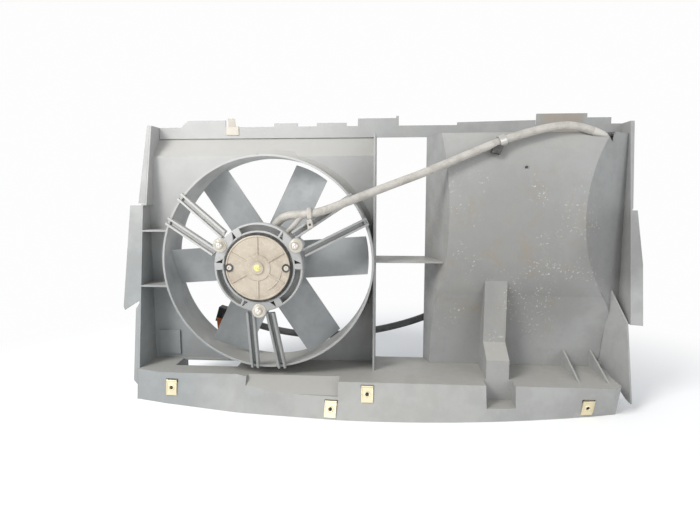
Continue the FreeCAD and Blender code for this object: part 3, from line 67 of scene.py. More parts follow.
class Shader:
    """Short way to build a node material."""

    def __init__(self, name):
        self.material = bpy.data.materials.new(name)
        self.material.use_nodes = True
        self.tree = self.material.node_tree
        self.tree.nodes.clear()
        self.out = self.add("ShaderNodeOutputMaterial")
        self.bsdf = self.add("ShaderNodeBsdfPrincipled")
        self.link(self.bsdf, "BSDF", self.out, "Surface")
        self.coords = self.add("ShaderNodeTexCoord")

    def add(self, kind, **values):
        node = self.tree.nodes.new(kind)
        for key, value in values.items():
            setattr(node, key, value)
        return node

    def link(self, source, output, target, socket):
        self.tree.links.new(source.outputs[output], target.inputs[socket])

    def noise(self, scale, detail, rough, stretch=(1, 1, 1), distortion=0.0):
        """Noise factor at a scale given in cycles per metre."""
        mapping = self.add("ShaderNodeMapping")
        mapping.inputs["Scale"].default_value = stretch
        self.link(self.coords, "Object", mapping, "Vector")
        node = self.add("ShaderNodeTexNoise")
        node.inputs["Scale"].default_value = scale
        node.inputs["Detail"].default_value = detail
        node.inputs["Roughness"].default_value = rough
        node.inputs["Distortion"].default_value = distortion
        self.link(mapping, "Vector", node, "Vector")
        return node.outputs["Fac"]

    def ramp(self, factor, low, high):
        """Smooth step of a factor between two thresholds."""
        node = self.add("ShaderNodeMapRange", interpolation_type="SMOOTHSTEP")
        node.inputs["From Min"].default_value = low
        node.inputs["From Max"].default_value = high
        self.tree.links.new(factor, node.inputs["Value"])
        return node.outputs["Result"]

    def patches(self, low, high, **pattern):
        """Noise cut to patches between two thresholds."""
        return self.ramp(self.noise(**pattern), low, high)

    def scaled(self, factor, amount):
        node = self.add("ShaderNodeMath", operation="MULTIPLY")
        self.tree.links.new(factor, node.inputs[0])
        node.inputs[1].default_value = amount
        return node.outputs[0]

    def product(self, a, b):
        node = self.add("ShaderNodeMath", operation="MULTIPLY")
        self.tree.links.new(a, node.inputs[0])
        self.tree.links.new(b, node.inputs[1])
        return node.outputs[0]

    def mix(self, factor, a, b):
        """Colour mix; a and b are colours or sockets."""
        node = self.add("ShaderNodeMix", data_type="RGBA")
        self.tree.links.new(factor, node.inputs["Factor"])
        for socket, value in ((node.inputs[MIX_A], a), (node.inputs[MIX_B], b)):
            if isinstance(value, tuple):
                socket.default_value = (*value, 1.0)
            else:
                self.tree.links.new(value, socket)
        return node.outputs[MIX_RESULT]

    def colour(self, base, layers):
        """Base colour with layers over it, each given by where it lies, how thick it is and its colour."""
        surface = base
        for where, amount, tone in layers:
            surface = self.mix(self.scaled(where, amount), surface, tone)
        self.tree.links.new(surface, self.bsdf.inputs["Base Color"])

    def facing_up(self):
        """How far a surface faces upwards, from its own normal."""
        geometry = self.add("ShaderNodeNewGeometry")
        split = self.add("ShaderNodeSeparateXYZ")
        self.link(geometry, "Normal", split, "Vector")
        return self.ramp(split.outputs["Z"], *DUST_TILT)

    def near(self, centre, inner, outer):
        """One round a place in the front view, fading to none between two radii in millimetres."""
        at = place(centre[0], 0, centre[1])
        geometry = self.add("ShaderNodeNewGeometry")
        flat = self.add("ShaderNodeVectorMath", operation="MULTIPLY")
        flat.inputs[1].default_value = (1, 0, 1)
        self.link(geometry, "Position", flat, 0)
        gap = self.add("ShaderNodeVectorMath", operation="DISTANCE")
        gap.inputs[1].default_value = (at.x, 0, at.z)
        self.link(flat, "Vector", gap, 0)
        return self.ramp(gap.outputs["Value"], outer / PER_METRE, inner / PER_METRE)

    def rounded_normal(self, radius):
        node = self.add("ShaderNodeBevel", samples=BEVEL_SAMPLES)
        node.inputs["Radius"].default_value = radius
        return node

    def edge_highlight_mask(self, radius):
        """Mask for painted highlights along convex and concave edges within a radius."""
        rounded = self.rounded_normal(radius)
        geometry = self.add("ShaderNodeNewGeometry")
        dot = self.add("ShaderNodeVectorMath", operation="DOT_PRODUCT")
        self.link(rounded, "Normal", dot, 0)
        self.link(geometry, "Normal", dot, 1)
        flipped = self.add("ShaderNodeMath", operation="SUBTRACT")
        flipped.inputs[0].default_value = 1.0
        self.link(dot, "Value", flipped, 1)
        return self.ramp(flipped.outputs[0], *EDGE_TURN)

    def bump(self, height, strength, distance, edge=0.0):
        """Fine relief, on edges that look rounded by a radius if one is given."""
        node = self.add("ShaderNodeBump")
        node.inputs["Strength"].default_value = strength
        node.inputs["Distance"].default_value = distance
        self.tree.links.new(height, node.inputs["Height"])
        if edge:
            self.link(self.rounded_normal(edge), "Normal", node, "Normal")
        self.link(node, "Normal", self.bsdf, "Normal")

    def roughness(self, factor, low, high):
        node = self.add("ShaderNodeMapRange")
        node.inputs["To Min"].default_value = low
        node.inputs["To Max"].default_value = high
        self.tree.links.new(factor, node.inputs["Value"])
        self.link(node, "Result", self.bsdf, "Roughness")


# Mouldings: colours of the plastic, of what time laid on it, and of painted light and shade
COWL_GREY = (0.285, 0.290, 0.287)
COWL_PALE = (0.365, 0.367, 0.360)
COWL_MOTTLE = (0.23, 0.23, 0.222)
COWL_STREAK = (0.36, 0.345, 0.315)
COWL_DUST = (0.40, 0.385, 0.35)
SWELL_GREY = (0.222, 0.222, 0.214)
SWELL_BROWN = (0.255, 0.215, 0.17)
SPATTER = (0.62, 0.58, 0.50)
BLUISH_GREY = (0.245, 0.268, 0.278)
PAINTED_GLARE = (0.60, 0.60, 0.59)
TAB_BROWN = (0.30, 0.25, 0.20)
SHADED_GREY = (0.17, 0.17, 0.165)
EDGE_HIGHLIGHT = (0.50, 0.50, 0.485)
RING_EDGE_HIGHLIGHT = (0.66, 0.66, 0.64)
FAN_GREY = (0.285, 0.30, 0.305)
FAN_PALE = (0.37, 0.385, 0.39)
FAN_DUST = (0.40, 0.395, 0.38)
FAN_MOTTLE_SHARE = 0.8
FAN_HIGHLIGHT_SHARE = 1.35

# Zones of the cowl in the front view: centre, radius up to which it is full, radius at which it has gone
SWELL_ZONE = ((330, 10), 60, 190)
LOWER_LEFT_ZONE = ((-190, -150), 90, 260)
# Painted glare: the top left lightened as if washed out by the light
PAINTED_GLARE_ZONE = ((-40, 180), 60, 270)
TAB_ZONE = ((417, 207), 20, 38)
SHADED_ZONE = ((478, 20), 40, 70)
# Fan ring, where the painted edge highlights are stronger
RING_ZONE = ((0, 0), 165, 200)

# Radii in metres by which edges look rounded, or over which painted edge highlights lie
COWL_HIGHLIGHT_RADIUS = 0.0008
COWL_EDGE = 0.0007
FAN_EDGE = 0.0006
METAL_EDGE = 0.0004


def moulding_wear(s):
    """Broad fading, mottling, upright streaks and fine specks of an old moulding."""
    broad = s.patches(0.35, 0.65, scale=5, detail=3, rough=0.5)
    mottle = s.patches(0.4, 0.62, scale=34, detail=6, rough=0.65)
    streaks = s.patches(0.5, 0.72, scale=18, detail=4, rough=0.6, stretch=(1, 1, 0.22))
    specks = s.patches(0.64, 0.75, scale=420, detail=2, rough=0.7)
    return broad, mottle, streaks, specks


def moulding_grain(s, edge):
    s.bump(s.noise(scale=650, detail=3, rough=0.6), strength=0.12, distance=0.0006, edge=edge)


def fan_plastic(name):
    """Faded moulding with mottling, streaks, settled dust and painted highlights along its edges."""
    s = Shader(name)
    broad, mottle, streaks, specks = moulding_wear(s)
    s.colour(FAN_GREY, (
        (broad, 0.55, FAN_PALE),
        (mottle, 0.35, tuple(FAN_MOTTLE_SHARE * c for c in FAN_GREY)),
        (streaks, 0.22, FAN_DUST),
        (specks, 0.3, FAN_DUST),
        (s.facing_up(), 0.35, FAN_DUST),
        # Painted highlights along edges
        (s.edge_highlight_mask(FAN_EDGE), 0.45, tuple(FAN_HIGHLIGHT_SHARE * c for c in FAN_PALE)),
    ))
    s.roughness(mottle, 0.52, 0.74)
    s.bsdf.inputs["Specular IOR Level"].default_value = 0.35
    moulding_grain(s, FAN_EDGE)
    return s.material


def cowl_plastic(name):
    """Grey moulding: painted glare at the top left, bluish below it, browner and spattered on the swell, with
    painted shade on the swell's right end and painted highlights along edges.
    """
    s = Shader(name)
    broad, mottle, streaks, specks = moulding_wear(s)
    blotches = s.patches(0.5, 0.68, scale=26, detail=7, rough=0.72, distortion=0.6)
    drops = s.patches(0.595, 0.64, scale=240, detail=4, rough=0.75)
    clusters = s.patches(0.49, 0.62, scale=19, detail=2, rough=0.5)
    swell = s.near(*SWELL_ZONE)
    edges = s.edge_highlight_mask(COWL_HIGHLIGHT_RADIUS)
    s.colour(COWL_GREY, (
        (broad, 0.6, COWL_PALE),
        (swell, 0.85, SWELL_GREY),
        (s.near(*LOWER_LEFT_ZONE), 0.6, BLUISH_GREY),
        (mottle, 0.3, COWL_MOTTLE),
        (streaks, 0.2, COWL_STREAK),
        (s.product(swell, blotches), 0.6, SWELL_BROWN),
        # Painted glare at the top left
        (s.near(*PAINTED_GLARE_ZONE), 0.5, PAINTED_GLARE),
        (s.near(*TAB_ZONE), 0.6, TAB_BROWN),
        (s.near(*SHADED_ZONE), 0.5, SHADED_GREY),
        (s.product(swell, s.product(drops, clusters)), 0.75, SPATTER),
        (specks, 0.25, COWL_DUST),
        (s.facing_up(), 0.6, COWL_DUST),
        # Painted highlights along edges, stronger round the fan ring
        (edges, 0.3, EDGE_HIGHLIGHT),
        (s.product(s.near(*RING_ZONE), edges), 0.65, RING_EDGE_HIGHLIGHT),
    ))
    s.roughness(mottle, 0.5, 0.72)
    s.bsdf.inputs["Specular IOR Level"].default_value = 0.38
    moulding_grain(s, COWL_EDGE)
    return s.material


# Motor end plate
PLATE_TAN = (0.455, 0.40, 0.325)
PLATE_BROWN = (0.33, 0.275, 0.22)
PLATE_PALE = (0.55, 0.51, 0.44)
DAB_YELLOW = (0.72, 0.68, 0.24)
DAB_ZONE = ((0.4, 0.2), 3.2, 5.6)


def painted_plate(name):
    """Brownish coated steel of the motor's end plate, with a dab of paint on its boss."""
    s = Shader(name)
    broad = s.patches(0.38, 0.64, scale=40, detail=4, rough=0.6)
    fine = s.patches(0.52, 0.68, scale=380, detail=4, rough=0.65)
    torn = s.patches(0.42, 0.5, scale=330, detail=3, rough=0.6)
    s.colour(PLATE_TAN, (
        (broad, 0.6, PLATE_BROWN),
        (fine, 0.5, PLATE_PALE),
        (s.product(s.near(*DAB_ZONE), torn), 1.0, DAB_YELLOW),
    ))
    s.bsdf.inputs["Metallic"].default_value = 0.25
    s.roughness(broad, 0.45, 0.62)
    s.bump(s.noise(scale=500, detail=3, rough=0.6), strength=0.15, distance=0.0005, edge=METAL_EDGE)
    return s.material


# Metals: clean colour, tarnish, roughness where clean and where tarnished, share of metal
METALS = {
    "motor_steel": ((0.50, 0.49, 0.46), (0.33, 0.29, 0.24), (0.35, 0.55), 0.8),
    "bright_steel": ((0.60, 0.565, 0.50), (0.50, 0.46, 0.40), (0.3, 0.5), 0.85),
    "zinc_yellow": ((0.74, 0.66, 0.46), (0.50, 0.42, 0.27), (0.35, 0.5), 0.6),
    "bronze": ((0.60, 0.42, 0.24), (0.40, 0.28, 0.16), (0.28, 0.5), 1.0),
    "laminations": ((0.30, 0.30, 0.31), (0.20, 0.17, 0.14), (0.28, 0.5), 1.0),
    "copper": ((0.72, 0.40, 0.22), (0.45, 0.24, 0.14), (0.28, 0.5), 1.0),
}


def tarnished_metal(name, base, stain, roughness, metallic):
    """Plated or machined metal with tarnish."""
    s = Shader(name)
    tarnish = s.patches(0.52, 0.72, scale=90, detail=6, rough=0.7)
    s.colour(base, ((tarnish, 0.7, stain),))
    s.bsdf.inputs["Metallic"].default_value = metallic
    s.roughness(tarnish, *roughness)
    s.bump(s.noise(scale=900, detail=2, rough=0.6), strength=0.08, distance=0.0004, edge=METAL_EDGE)
    return s.material


# Coverings: clean colour, dirt, and the zone where a pale wrap shows, if there is one
WRAP_PALE = (0.50, 0.48, 0.44)
COVERINGS = {
    "loom_cover": ((0.44, 0.42, 0.385), (0.27, 0.255, 0.23), None),
    "loom_black": ((0.06, 0.06, 0.062), (0.15, 0.15, 0.15), ((446, 178), 16, 24)),
    "lock_orange": ((0.62, 0.17, 0.04), (0.42, 0.14, 0.06), None),
    "card_board": ((0.32, 0.20, 0.10), (0.22, 0.14, 0.08), None),
}
SPECK_SHARE = 0.5


def dulled_covering(name, base, dirt, wrapped):
    """Sleeving and like coverings greyed with dust, pale where they are wrapped."""
    s = Shader(name)
    dirty = s.patches(0.4, 0.66, scale=60, detail=6, rough=0.7)
    specks = s.patches(0.6, 0.75, scale=700, detail=2, rough=0.6)
    layers = [(dirty, 0.6, dirt), (specks, 0.35, tuple(SPECK_SHARE * c for c in dirt))]
    if wrapped:
        layers.append((s.near(*wrapped), 1.0, WRAP_PALE))
    s.colour(base, layers)
    s.roughness(dirty, 0.45, 0.7)
    s.bump(s.noise(scale=260, detail=4, rough=0.6), strength=0.3, distance=0.0008)
    return s.material


# Rubber and like dark stuff: colour under the dust
DARKS = {
    "black_rubber": (0.03, 0.03, 0.03),
    "ferrite": (0.06, 0.06, 0.065),
    "carbon": (0.04, 0.04, 0.04),
    "connector_black": (0.025, 0.025, 0.027),
}
RUBBER_DUST = (0.25, 0.24, 0.22)


def dusty_rubber(name, base):
    s = Shader(name)
    dusty = s.patches(0.45, 0.7, scale=150, detail=4, rough=0.6)
    s.colour(base, ((dusty, 0.35, RUBBER_DUST),))
    s.roughness(dusty, 0.6, 0.85)
    s.bump(s.noise(scale=900, detail=2, rough=0.6), strength=0.15, distance=0.0005)
    return s.material


def make_materials():
    """One material for each slot of the record."""
    materials = {
        "cowl_plastic": cowl_plastic("cowl_plastic"),
        "fan_plastic": fan_plastic("fan_plastic"),
        "plate_steel": painted_plate("plate_steel"),
    }
    for slot, values in METALS.items():
        materials[slot] = tarnished_metal(slot, *values)
    for slot, values in COVERINGS.items():
        materials[slot] = dulled_covering(slot, *values)
    for slot, base in DARKS.items():
        materials[slot] = dusty_rubber(slot, base)
    return materials


def dress_nodes(materials):
    """Gives each carried-over node the material of its slot."""
    for entry in frame["record"]["subparts"]:
        item = nodes[entry["node"]]
        item.data.materials.clear()
        item.data.materials.append(materials[entry["material_slot"]])


# Leads: control points of each run, and radii in metres
FRONT_ROUTE = (
    (17, -21, 52), (24, -24, 61), (37, -30, 67), (56, -35, 68), (79, -34, 71), (105, -26, 81),
    (136, -13, 93), (172, -2, 107), (215, 8, 123), (258, 17, 141), (303, 24, 160),
    (334, 29, 171), (365, 34, 180), (393, 38, 186), (419, 41, 187), (443, 46, 180),
)
REAR_ROUTE = (
    (443, 46, 180), (461, 49.75, 174.75), (471, 59, 162), (476, 72, 145), (474, 86, 124), (465, 100, 98),
    (449, 112, 68), (424, 122, 34), (390, 128, 0), (349, 131, -34), (297, 131, -67),
    (230, 130, -101), (172, 130, -120), (112, 130, -131),
    (52, 130, -136), (-4, 130, -131), (-50, 129, -119), (-80, 129, -110),
)
BRANCH_ROUTE = ((29, -28, 40), (36, -31, 45), (44, -34, 53), (56, -35, 66))
LOOM_RADIUS = 0.0055
BRANCH_RADIUS = 0.0034


def new_lead(name, route, radius, slot, materials):
    """Smooth round lead on the cowl whose control points are the route."""
    data = bpy.data.curves.new(name, "CURVE")
    data.dimensions = "3D"
    data.bevel_depth = radius
    data.bevel_resolution = 6
    data.resolution_u = 12
    data.use_fill_caps = True
    data.materials.append(materials[slot])
    spline = data.splines.new("NURBS")
    spline.points.add(len(route) - 1)
    for point, at in zip(spline.points, route):
        point.co = (*place(*at), 1.0)
    spline.order_u = 3
    spline.use_endpoint_u = True
    item = bpy.data.objects.new(name, data)
    bpy.context.scene.collection.objects.link(item)
    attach(item, "cowl")
    return item


def make_leads(materials, lock):
    """Sleeve across the front, its branch at the motor, and the run that hangs behind the cowl."""
    sleeve = new_lead("front_loom", FRONT_ROUTE, LOOM_RADIUS, "loom_cover", materials)
    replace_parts(sleeve, "loom_sleeve")
    new_lead("lead_branch", BRANCH_ROUTE, BRANCH_RADIUS, "loom_cover", materials)
    rear = new_lead("hanging_loom", REAR_ROUTE, LOOM_RADIUS, "loom_black", materials)
    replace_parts(rear, "rear_loom")


# Mesh building
ROUNDING_STEPS = 2


def polar(radius, angle):
    """Place in the front view at a radius and an angle in degrees."""
    return radius * math.cos(math.radians(angle)), radius * math.sin(math.radians(angle))


def rectangle(left, low, right, high):
    """Outline of an upright rectangle."""
    return [(left, low), (right, low), (right, high), (left, high)]


def arc_band(inner, outer, low, high, step=4.0):
    """Outline of a band between two radii and two angles."""
    turns = max(2, int(abs(high - low) / step) + 1)
    angles = [low + (high - low) * i / (turns - 1) for i in range(turns)]
    return [polar(outer, a) for a in angles] + [polar(inner, a) for a in reversed(angles)]


class Form:
    """Points and faces of a mesh, in millimetres about the fan axis."""

    def __init__(self):
        self.points = []
        self.faces = []

    def prism(self, outline, front, back):
        """Adds a straight prism over an outline given in x and z."""
        start, count = len(self.points), len(outline)
        self.points += [(x, front, z) for x, z in outline] + [(x, back, z) for x, z in outline]
        self.faces.append([start + i for i in range(count)])
        self.faces.append([start + count + i for i in reversed(range(count))])
        for i in range(count):
            after = (i + 1) % count
            self.faces.append([start + after, start + i, start + count + i, start + count + after])

    def turned(self, profile, centre=(0, 0), steps=48):
        """Adds a turned form about a line along y; the profile is a closed list of radius and y."""
        start, count = len(self.points), len(profile)
        for k in range(steps):
            for radius, y in profile:
                x, z = polar(radius, 360.0 * k / steps)
                self.points.append((centre[0] + x, y, centre[1] + z))
        for k in range(steps):
            here = start + k * count
            there = start + (k + 1) % steps * count
            for i in range(count):
                after = (i + 1) % count
                self.faces.append([here + i, here + after, there + after, there + i])

    def copy(self, other, base, right, back, up):
        """Adds a copy of another form, set on a base and turned to three directions."""
        start = len(self.points)
        self.faces += [[start + i for i in face] for face in other.faces]
        self.points += [tuple(base + right * x + back * y + up * z) for x, y, z in other.points]

    def piece(self, name, slot, materials, smooth=False, rounding=0.0):
        """Makes the form a piece on the cowl, its edges rounded by so many millimetres."""
        mesh = bpy.data.meshes.new(name)
        mesh.from_pydata([tuple(place(*p)) for p in self.points], [], self.faces)
        mesh.validate()
        mesh.materials.append(materials[slot])
        for face in mesh.polygons:
            face.use_smooth = smooth
        item = bpy.data.objects.new(name, mesh)
        bpy.context.scene.collection.objects.link(item)
        if rounding:
            modifier = item.modifiers.new("rounding", "BEVEL")
            modifier.width = rounding / PER_METRE
            modifier.segments = ROUNDING_STEPS
            modifier.limit_method = "ANGLE"
        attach(item, "cowl")
        return item


# Radius that stands for the axis in a turned form
CORE = 0.01

# Hole in the bulged panel: centre, and turned profiles of radius and y
PANEL_HOLE = (352, 130)
HOLE_RIM = ((2.3, 24.0), (3.3, 24.0), (3.8, 25.2), (2.3, 25.2))
HOLE_SHADOW = ((CORE, 24.4), (2.4, 24.4), (2.4, 25.2), (CORE, 25.2))

# Prisms of the sleeve's holders and of the plug's lock: outline, front and back
CLIP_FOOT = (((305, 150), (316, 147), (320, 158), (308, 161)), 21, 34.4)
STRAP_BAND = (((63.5, 62.3), (69.5, 62.9), (69, 77.5), (63, 76.9)), -42, -28)
STRAP_TAIL = (((64.5, 49), (72, 51.5), (69.5, 63), (62.5, 61)), -42.5, -35)
STRAP_HOLE = (67.3, 55.5)
STRAP_EYE = ((CORE, -42.8), (1.6, -42.8), (1.6, -42.2), (CORE, -42.2))
LOCK_BODY = (
    ((-113, -106), (-97, -110), (-98.5, -128), (-102, -138), (-111, -137), (-112, -122)), 116.8, 121.5,
)
LOCK_TONGUE = (((-97, -90), (-84, -93), (-85, -97), (-98, -94)), 122.4, 134.4)

# Webs behind the lower right corner and behind the lead hole
LOWER_WEB = (((477, -194), (502.5, -194), (502.5, -140), (484, -140), (477, -152)), 70, 73.2)
UPPER_WEB = (rectangle(452, 158, 500, 179.2), 88, 90)


def make_panel_hole(materials):
    """Raised rim of the hole in the bulged panel."""
    rim = Form()
    rim.turned(HOLE_RIM, PANEL_HOLE, steps=32)
    rim.piece("panel_hole_rim", "cowl_plastic", materials)


def make_sleeve_holders(materials):
    """Dark foot of the clip with a painted shade disc at the bottom of the panel hole, then the strap at the motor
    with its eye.
    """
    foot = Form()
    # Painted shade: dark disc at the bottom of the panel hole
    foot.turned(HOLE_SHADOW, PANEL_HOLE, steps=24)
    foot.prism(*CLIP_FOOT)
    foot.piece("clip_foot_and_hole_shade", "black_rubber", materials, rounding=0.8)
    strap = Form()
    strap.prism(*STRAP_BAND)
    strap.prism(*STRAP_TAIL)
    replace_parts(strap.piece("sleeve_strap", "loom_cover", materials, rounding=1.4), "cable_tie")
    eye = Form()
    eye.turned(STRAP_EYE, STRAP_HOLE, steps=24)
    eye.piece("strap_eye", "black_rubber", materials)


def make_corner_webs(materials):
    """Small webs that close the lower right corner and the space behind the lead hole."""
    webs = Form()
    webs.prism(*LOWER_WEB)
    webs.prism(*UPPER_WEB)
    webs.piece("corner_webs", "cowl_plastic", materials)


def make_plug_lock(materials):
    """Orange lock of the plug on the end of the hanging lead."""
    form = Form()
    form.prism(*LOCK_BODY)
    form.prism(*LOCK_TONGUE)
    lock = form.piece("plug_lock", "lock_orange", materials, rounding=1.2)
    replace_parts(lock, "connector_lock")
    return lock


# Panel behind the foot: flat at the bottom, above that a swell that is round about a line along x
# and narrower in front, because both its ends lean inwards
TRAY_TOP = -160
SWELL_Y, SWELL_Z, SWELL_RADIUS = 235, 65, 220
SWELL_LOW_END = -85
FLAT_Y = 75
LEFT_END, LEFT_END_Y, LEFT_LEAN = 223, 100, 0.318
RIGHT_END, RIGHT_LEAN, RIGHT_LIMIT = 411.2, 1.255, 502

# Foot: where it stands on the tray, how far it reaches into the panel, and how its top is tucked in
FOOT_Y = 74.6
FOOT_ROWS = 25
FOOT_SINK = 1.2
TUCK = 0.35
TUCK_ROWS = 6.0
SHARP_ANGLE = 30


def panel_front(z):
    """Depth of the panel's front at a height: flat below, round on the swell."""
    if z <= SWELL_LOW_END:
        return FLAT_Y
    return SWELL_Y - math.sqrt(SWELL_RADIUS ** 2 - (z - SWELL_Z) ** 2)


def make_swell_foot(materials):
    """Hollow run-out of the swell: an arc that leaves the round smoothly and stands upright on the tray."""
    drop = SWELL_Z - TRAY_TOP
    turn = 2 * math.atan((FOOT_Y - (SWELL_Y - SWELL_RADIUS)) / drop)
    hollow = drop / math.sin(turn) - SWELL_RADIUS
    form = Form()
    for i in range(FOOT_ROWS):
        angle = turn * (FOOT_ROWS - 1 - i) / (FOOT_ROWS - 1)
        z = TRAY_TOP + hollow * math.sin(angle)
        y = FOOT_Y - hollow + hollow * math.cos(angle)
        # The first rows start just under the swell, so that no seam shows
        y += TUCK * max(0.0, 1.0 - i / TUCK_ROWS)
        for depth in (y, panel_front(z) + FOOT_SINK):
            form.points.append((LEFT_END + LEFT_LEAN * (LEFT_END_Y - depth), depth, z))
            form.points.append((min(RIGHT_END + RIGHT_LEAN * depth, RIGHT_LIMIT), depth, z))
    # A row has four points: left and right on the hollow, left and right inside the panel
    for i in range(FOOT_ROWS - 1):
        a = 4 * i
        b = a + 4
        form.faces += [[a, a + 1, b + 1, b], [a + 2, b + 2, b + 3, a + 3]]
        form.faces += [[a, b, b + 2, a + 2], [a + 1, a + 3, b + 3, b + 1]]
    last = 4 * (FOOT_ROWS - 1)
    form.faces += [[0, 2, 3, 1], [last, last + 1, last + 3, last + 2]]
    item = form.piece("swell_foot", "cowl_plastic", materials, smooth=True)
    item.data.set_sharp_from_angle(angle=math.radians(SHARP_ANGLE))


# Face of the motor mount: angles of the lugs, and of the long slot before each lug
LUG_ANGLES = (150, 270, 30)
LUG_CIRCLE = 57
MOUNT_SLOTS = ((57, 116), (184, 243), (304, 358))
MOUNT_INNER, MOUNT_OUTER = 46.2, 57.4
MOUNT_FRONT, MOUNT_BACK = -46.6, -41.6
BRIDGE_HALF_ANGLE = 16
POCKET_END_ANGLE = 24


def make_mount_face(materials):
    """Bridges at the lugs with three-cornered pockets beside them, and long slots between."""
    form = Form()
    for index, lug in enumerate(LUG_ANGLES):
        before = MOUNT_SLOTS[index][1]
        after = MOUNT_SLOTS[(index + 1) % len(MOUNT_SLOTS)][0]
        low = before - 360 if before > lug else before
        high = after + 360 if after < lug else after
        bridge = arc_band(MOUNT_INNER, MOUNT_OUTER, lug - BRIDGE_HALF_ANGLE, lug + BRIDGE_HALF_ANGLE)
        form.prism(bridge, MOUNT_FRONT, MOUNT_BACK)
        for side, end in ((-1, low), (1, high)):
            pocket = lug + side * BRIDGE_HALF_ANGLE
            rest = lug + side * POCKET_END_ANGLE
            corner = [polar(MOUNT_INNER, pocket), polar(MOUNT_OUTER, pocket), polar(MOUNT_OUTER, rest)]
            band = arc_band(MOUNT_INNER, MOUNT_OUTER, rest, end)
            # Reversed on one side of the lug, where the angles fall, so that all outlines turn one way
            form.prism(corner[::side], MOUNT_FRONT, MOUNT_BACK)
            form.prism(band[::side], MOUNT_FRONT, MOUNT_BACK)
    form.piece("mount_face", "cowl_plastic", materials, rounding=0.35)


# Motor end plate: turned profiles of radius and y, then ribs and arc
PLATE_FACE = -50
PLATE_SINK = 0.4
SCREW_X = 37.2
DISC = ((CORE, -51.2), (16.2, -51.2), (17, -50.6), (17, -49.6), (CORE, -49.6))
BOSS = (
    (CORE, -54.2), (3.6, -54.2), (4.4, -53.4), (6.4, -53.0), (7.2, -52.2), (7.2, -49.8), (CORE, -49.8),
)
PLATE_RIM = ((40.4, -50.9), (42, -50.5), (42, -49), (39.6, -49), (39.6, -50.2))
# Dark rings of painted shade round the plate's screws and round its edge
SCREW_SHADE_RING = ((3.2, -50.9), (5.4, -51.2), (5.4, -49.8), (3.2, -49.8))
PLATE_SHADE_RING = ((42.3, -46.9), (45.2, -46.9), (45.2, -45.6), (42.3, -45.6))
SCREW_HEAD = (
    (1.1, -50.3), (1.3, -51.0), (3.0, -51.0), (3.3, -50.6), (3.3, -48),
    (CORE, -48), (CORE, -49.8), (1.1, -49.8),
)
BOLT_WASHER = ((6.8, -47.8), (8.6, -47.8), (9.0, -47.4), (9.0, -46.0), (6.8, -46.0))
BOLT_DOME = ((CORE, -55.7), (2.2, -55.5), (3.8, -54.8), (4.7, -53.8), (4.9, -52.6), (CORE, -52.6))
RIB_COUNT, RIB_FIRST_ANGLE = 6, 30
RIB_FROM, RIB_TO, RIB_HALF, RIB_RISE = 15, 39.5, 1.2, 1.1
ARC_INNER, ARC_OUTER, ARC_LOW, ARC_HIGH, ARC_RISE = 29.6, 31.6, -66, -6, 0.9
FINE_STEPS = 96


def rib_outline(angle):
    """Straight rib on the plate along a radius at an angle."""
    start, end = polar(RIB_FROM, angle), polar(RIB_TO, angle)
    x, z = polar(RIB_HALF, angle + 90)
    return [(start[0] - x, start[1] - z), (end[0] - x, end[1] - z),
            (end[0] + x, end[1] + z), (start[0] + x, start[1] + z)]


def make_plate_relief(materials):
    """Raised disc, boss, ribs, arc and rim of the motor's end plate."""
    form = Form()
    form.turned(DISC)
    form.turned(BOSS)
    for k in range(RIB_COUNT):
        outline = rib_outline(RIB_FIRST_ANGLE + k * 360 / RIB_COUNT)
        form.prism(outline, PLATE_FACE - RIB_RISE, PLATE_FACE + PLATE_SINK)
    arc = arc_band(ARC_INNER, ARC_OUTER, ARC_LOW, ARC_HIGH)
    form.prism(arc, PLATE_FACE - ARC_RISE, PLATE_FACE + PLATE_SINK)
    form.turned(PLATE_RIM, steps=FINE_STEPS)
    form.piece("plate_relief", "plate_steel", materials, rounding=0.3)


def make_plate_shadow_rings(materials):
    """Painted shade: dark rings in the gaps round the screws of the plate and round its edge."""
    form = Form()
    for x in (-SCREW_X, SCREW_X):
        form.turned(SCREW_SHADE_RING, (x, 0))
    form.turned(PLATE_SHADE_RING, steps=FINE_STEPS)
    form.piece("plate_shadow_rings", "black_rubber", materials)


def make_bolt_domes(materials):
    """Domed ends of the three motor bolts."""
    form = Form()
    for angle in LUG_ANGLES:
        form.turned(BOLT_DOME, polar(LUG_CIRCLE, angle))
    form.piece("bolt_domes", "bright_steel", materials, smooth=True)


def make_plate_screws(materials):
    """Screws of the plate with their sockets, and the washers of the motor bolts."""
    form = Form()
    for x in (-SCREW_X, SCREW_X):
        form.turned(SCREW_HEAD, (x, 0), steps=32)
    for angle in LUG_ANGLES:
        form.turned(BOLT_WASHER, polar(LUG_CIRCLE, angle))
    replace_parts(form.piece("plate_screws", "bright_steel", materials), "end_plate_screws")


# Clip nuts: front of the front leaf from the middle of the thread, and the forms on it
NUT_GRIP = 6.8
NUT_COLLAR = ((2.7, 0.3), (2.9, -0.9), (3.7, -0.9), (4.5, -0.2), (4.5, 0.3))
LEFT_EDGE = (rectangle(-8, -8, -6.8, 8), -0.8, 0.3)
RIGHT_EDGE = (rectangle(6.8, -8, 8, 8), -0.8, 0.3)
TOP_FOLD = (rectangle(-8, 9, 8, 11), -1.1, 0.3)


def make_nut_details(materials):
    """Pressed collar and folded edges on the front leaf of each clip nut."""
    leaf = Form()
    leaf.turned(NUT_COLLAR, steps=32)
    leaf.prism(*LEFT_EDGE)
    leaf.prism(*RIGHT_EDGE)
    leaf.prism(*TOP_FOLD)
    form = Form()
    for mount in frame["record"]["mounts"]:
        if mount["kind"] != "threaded_hole":
            continue
        out = Vector(mount["axis"]).normalized()
        up = (Vector((0, 0, 1)) - out * out.z).normalized()
        base = (Vector(mount["pos_m"]) - AXIS) * PER_METRE + out * NUT_GRIP
        form.copy(leaf, base, up.cross(out), -out, up)
    form.piece("nut_details", "zinc_yellow", materials, rounding=0.25)


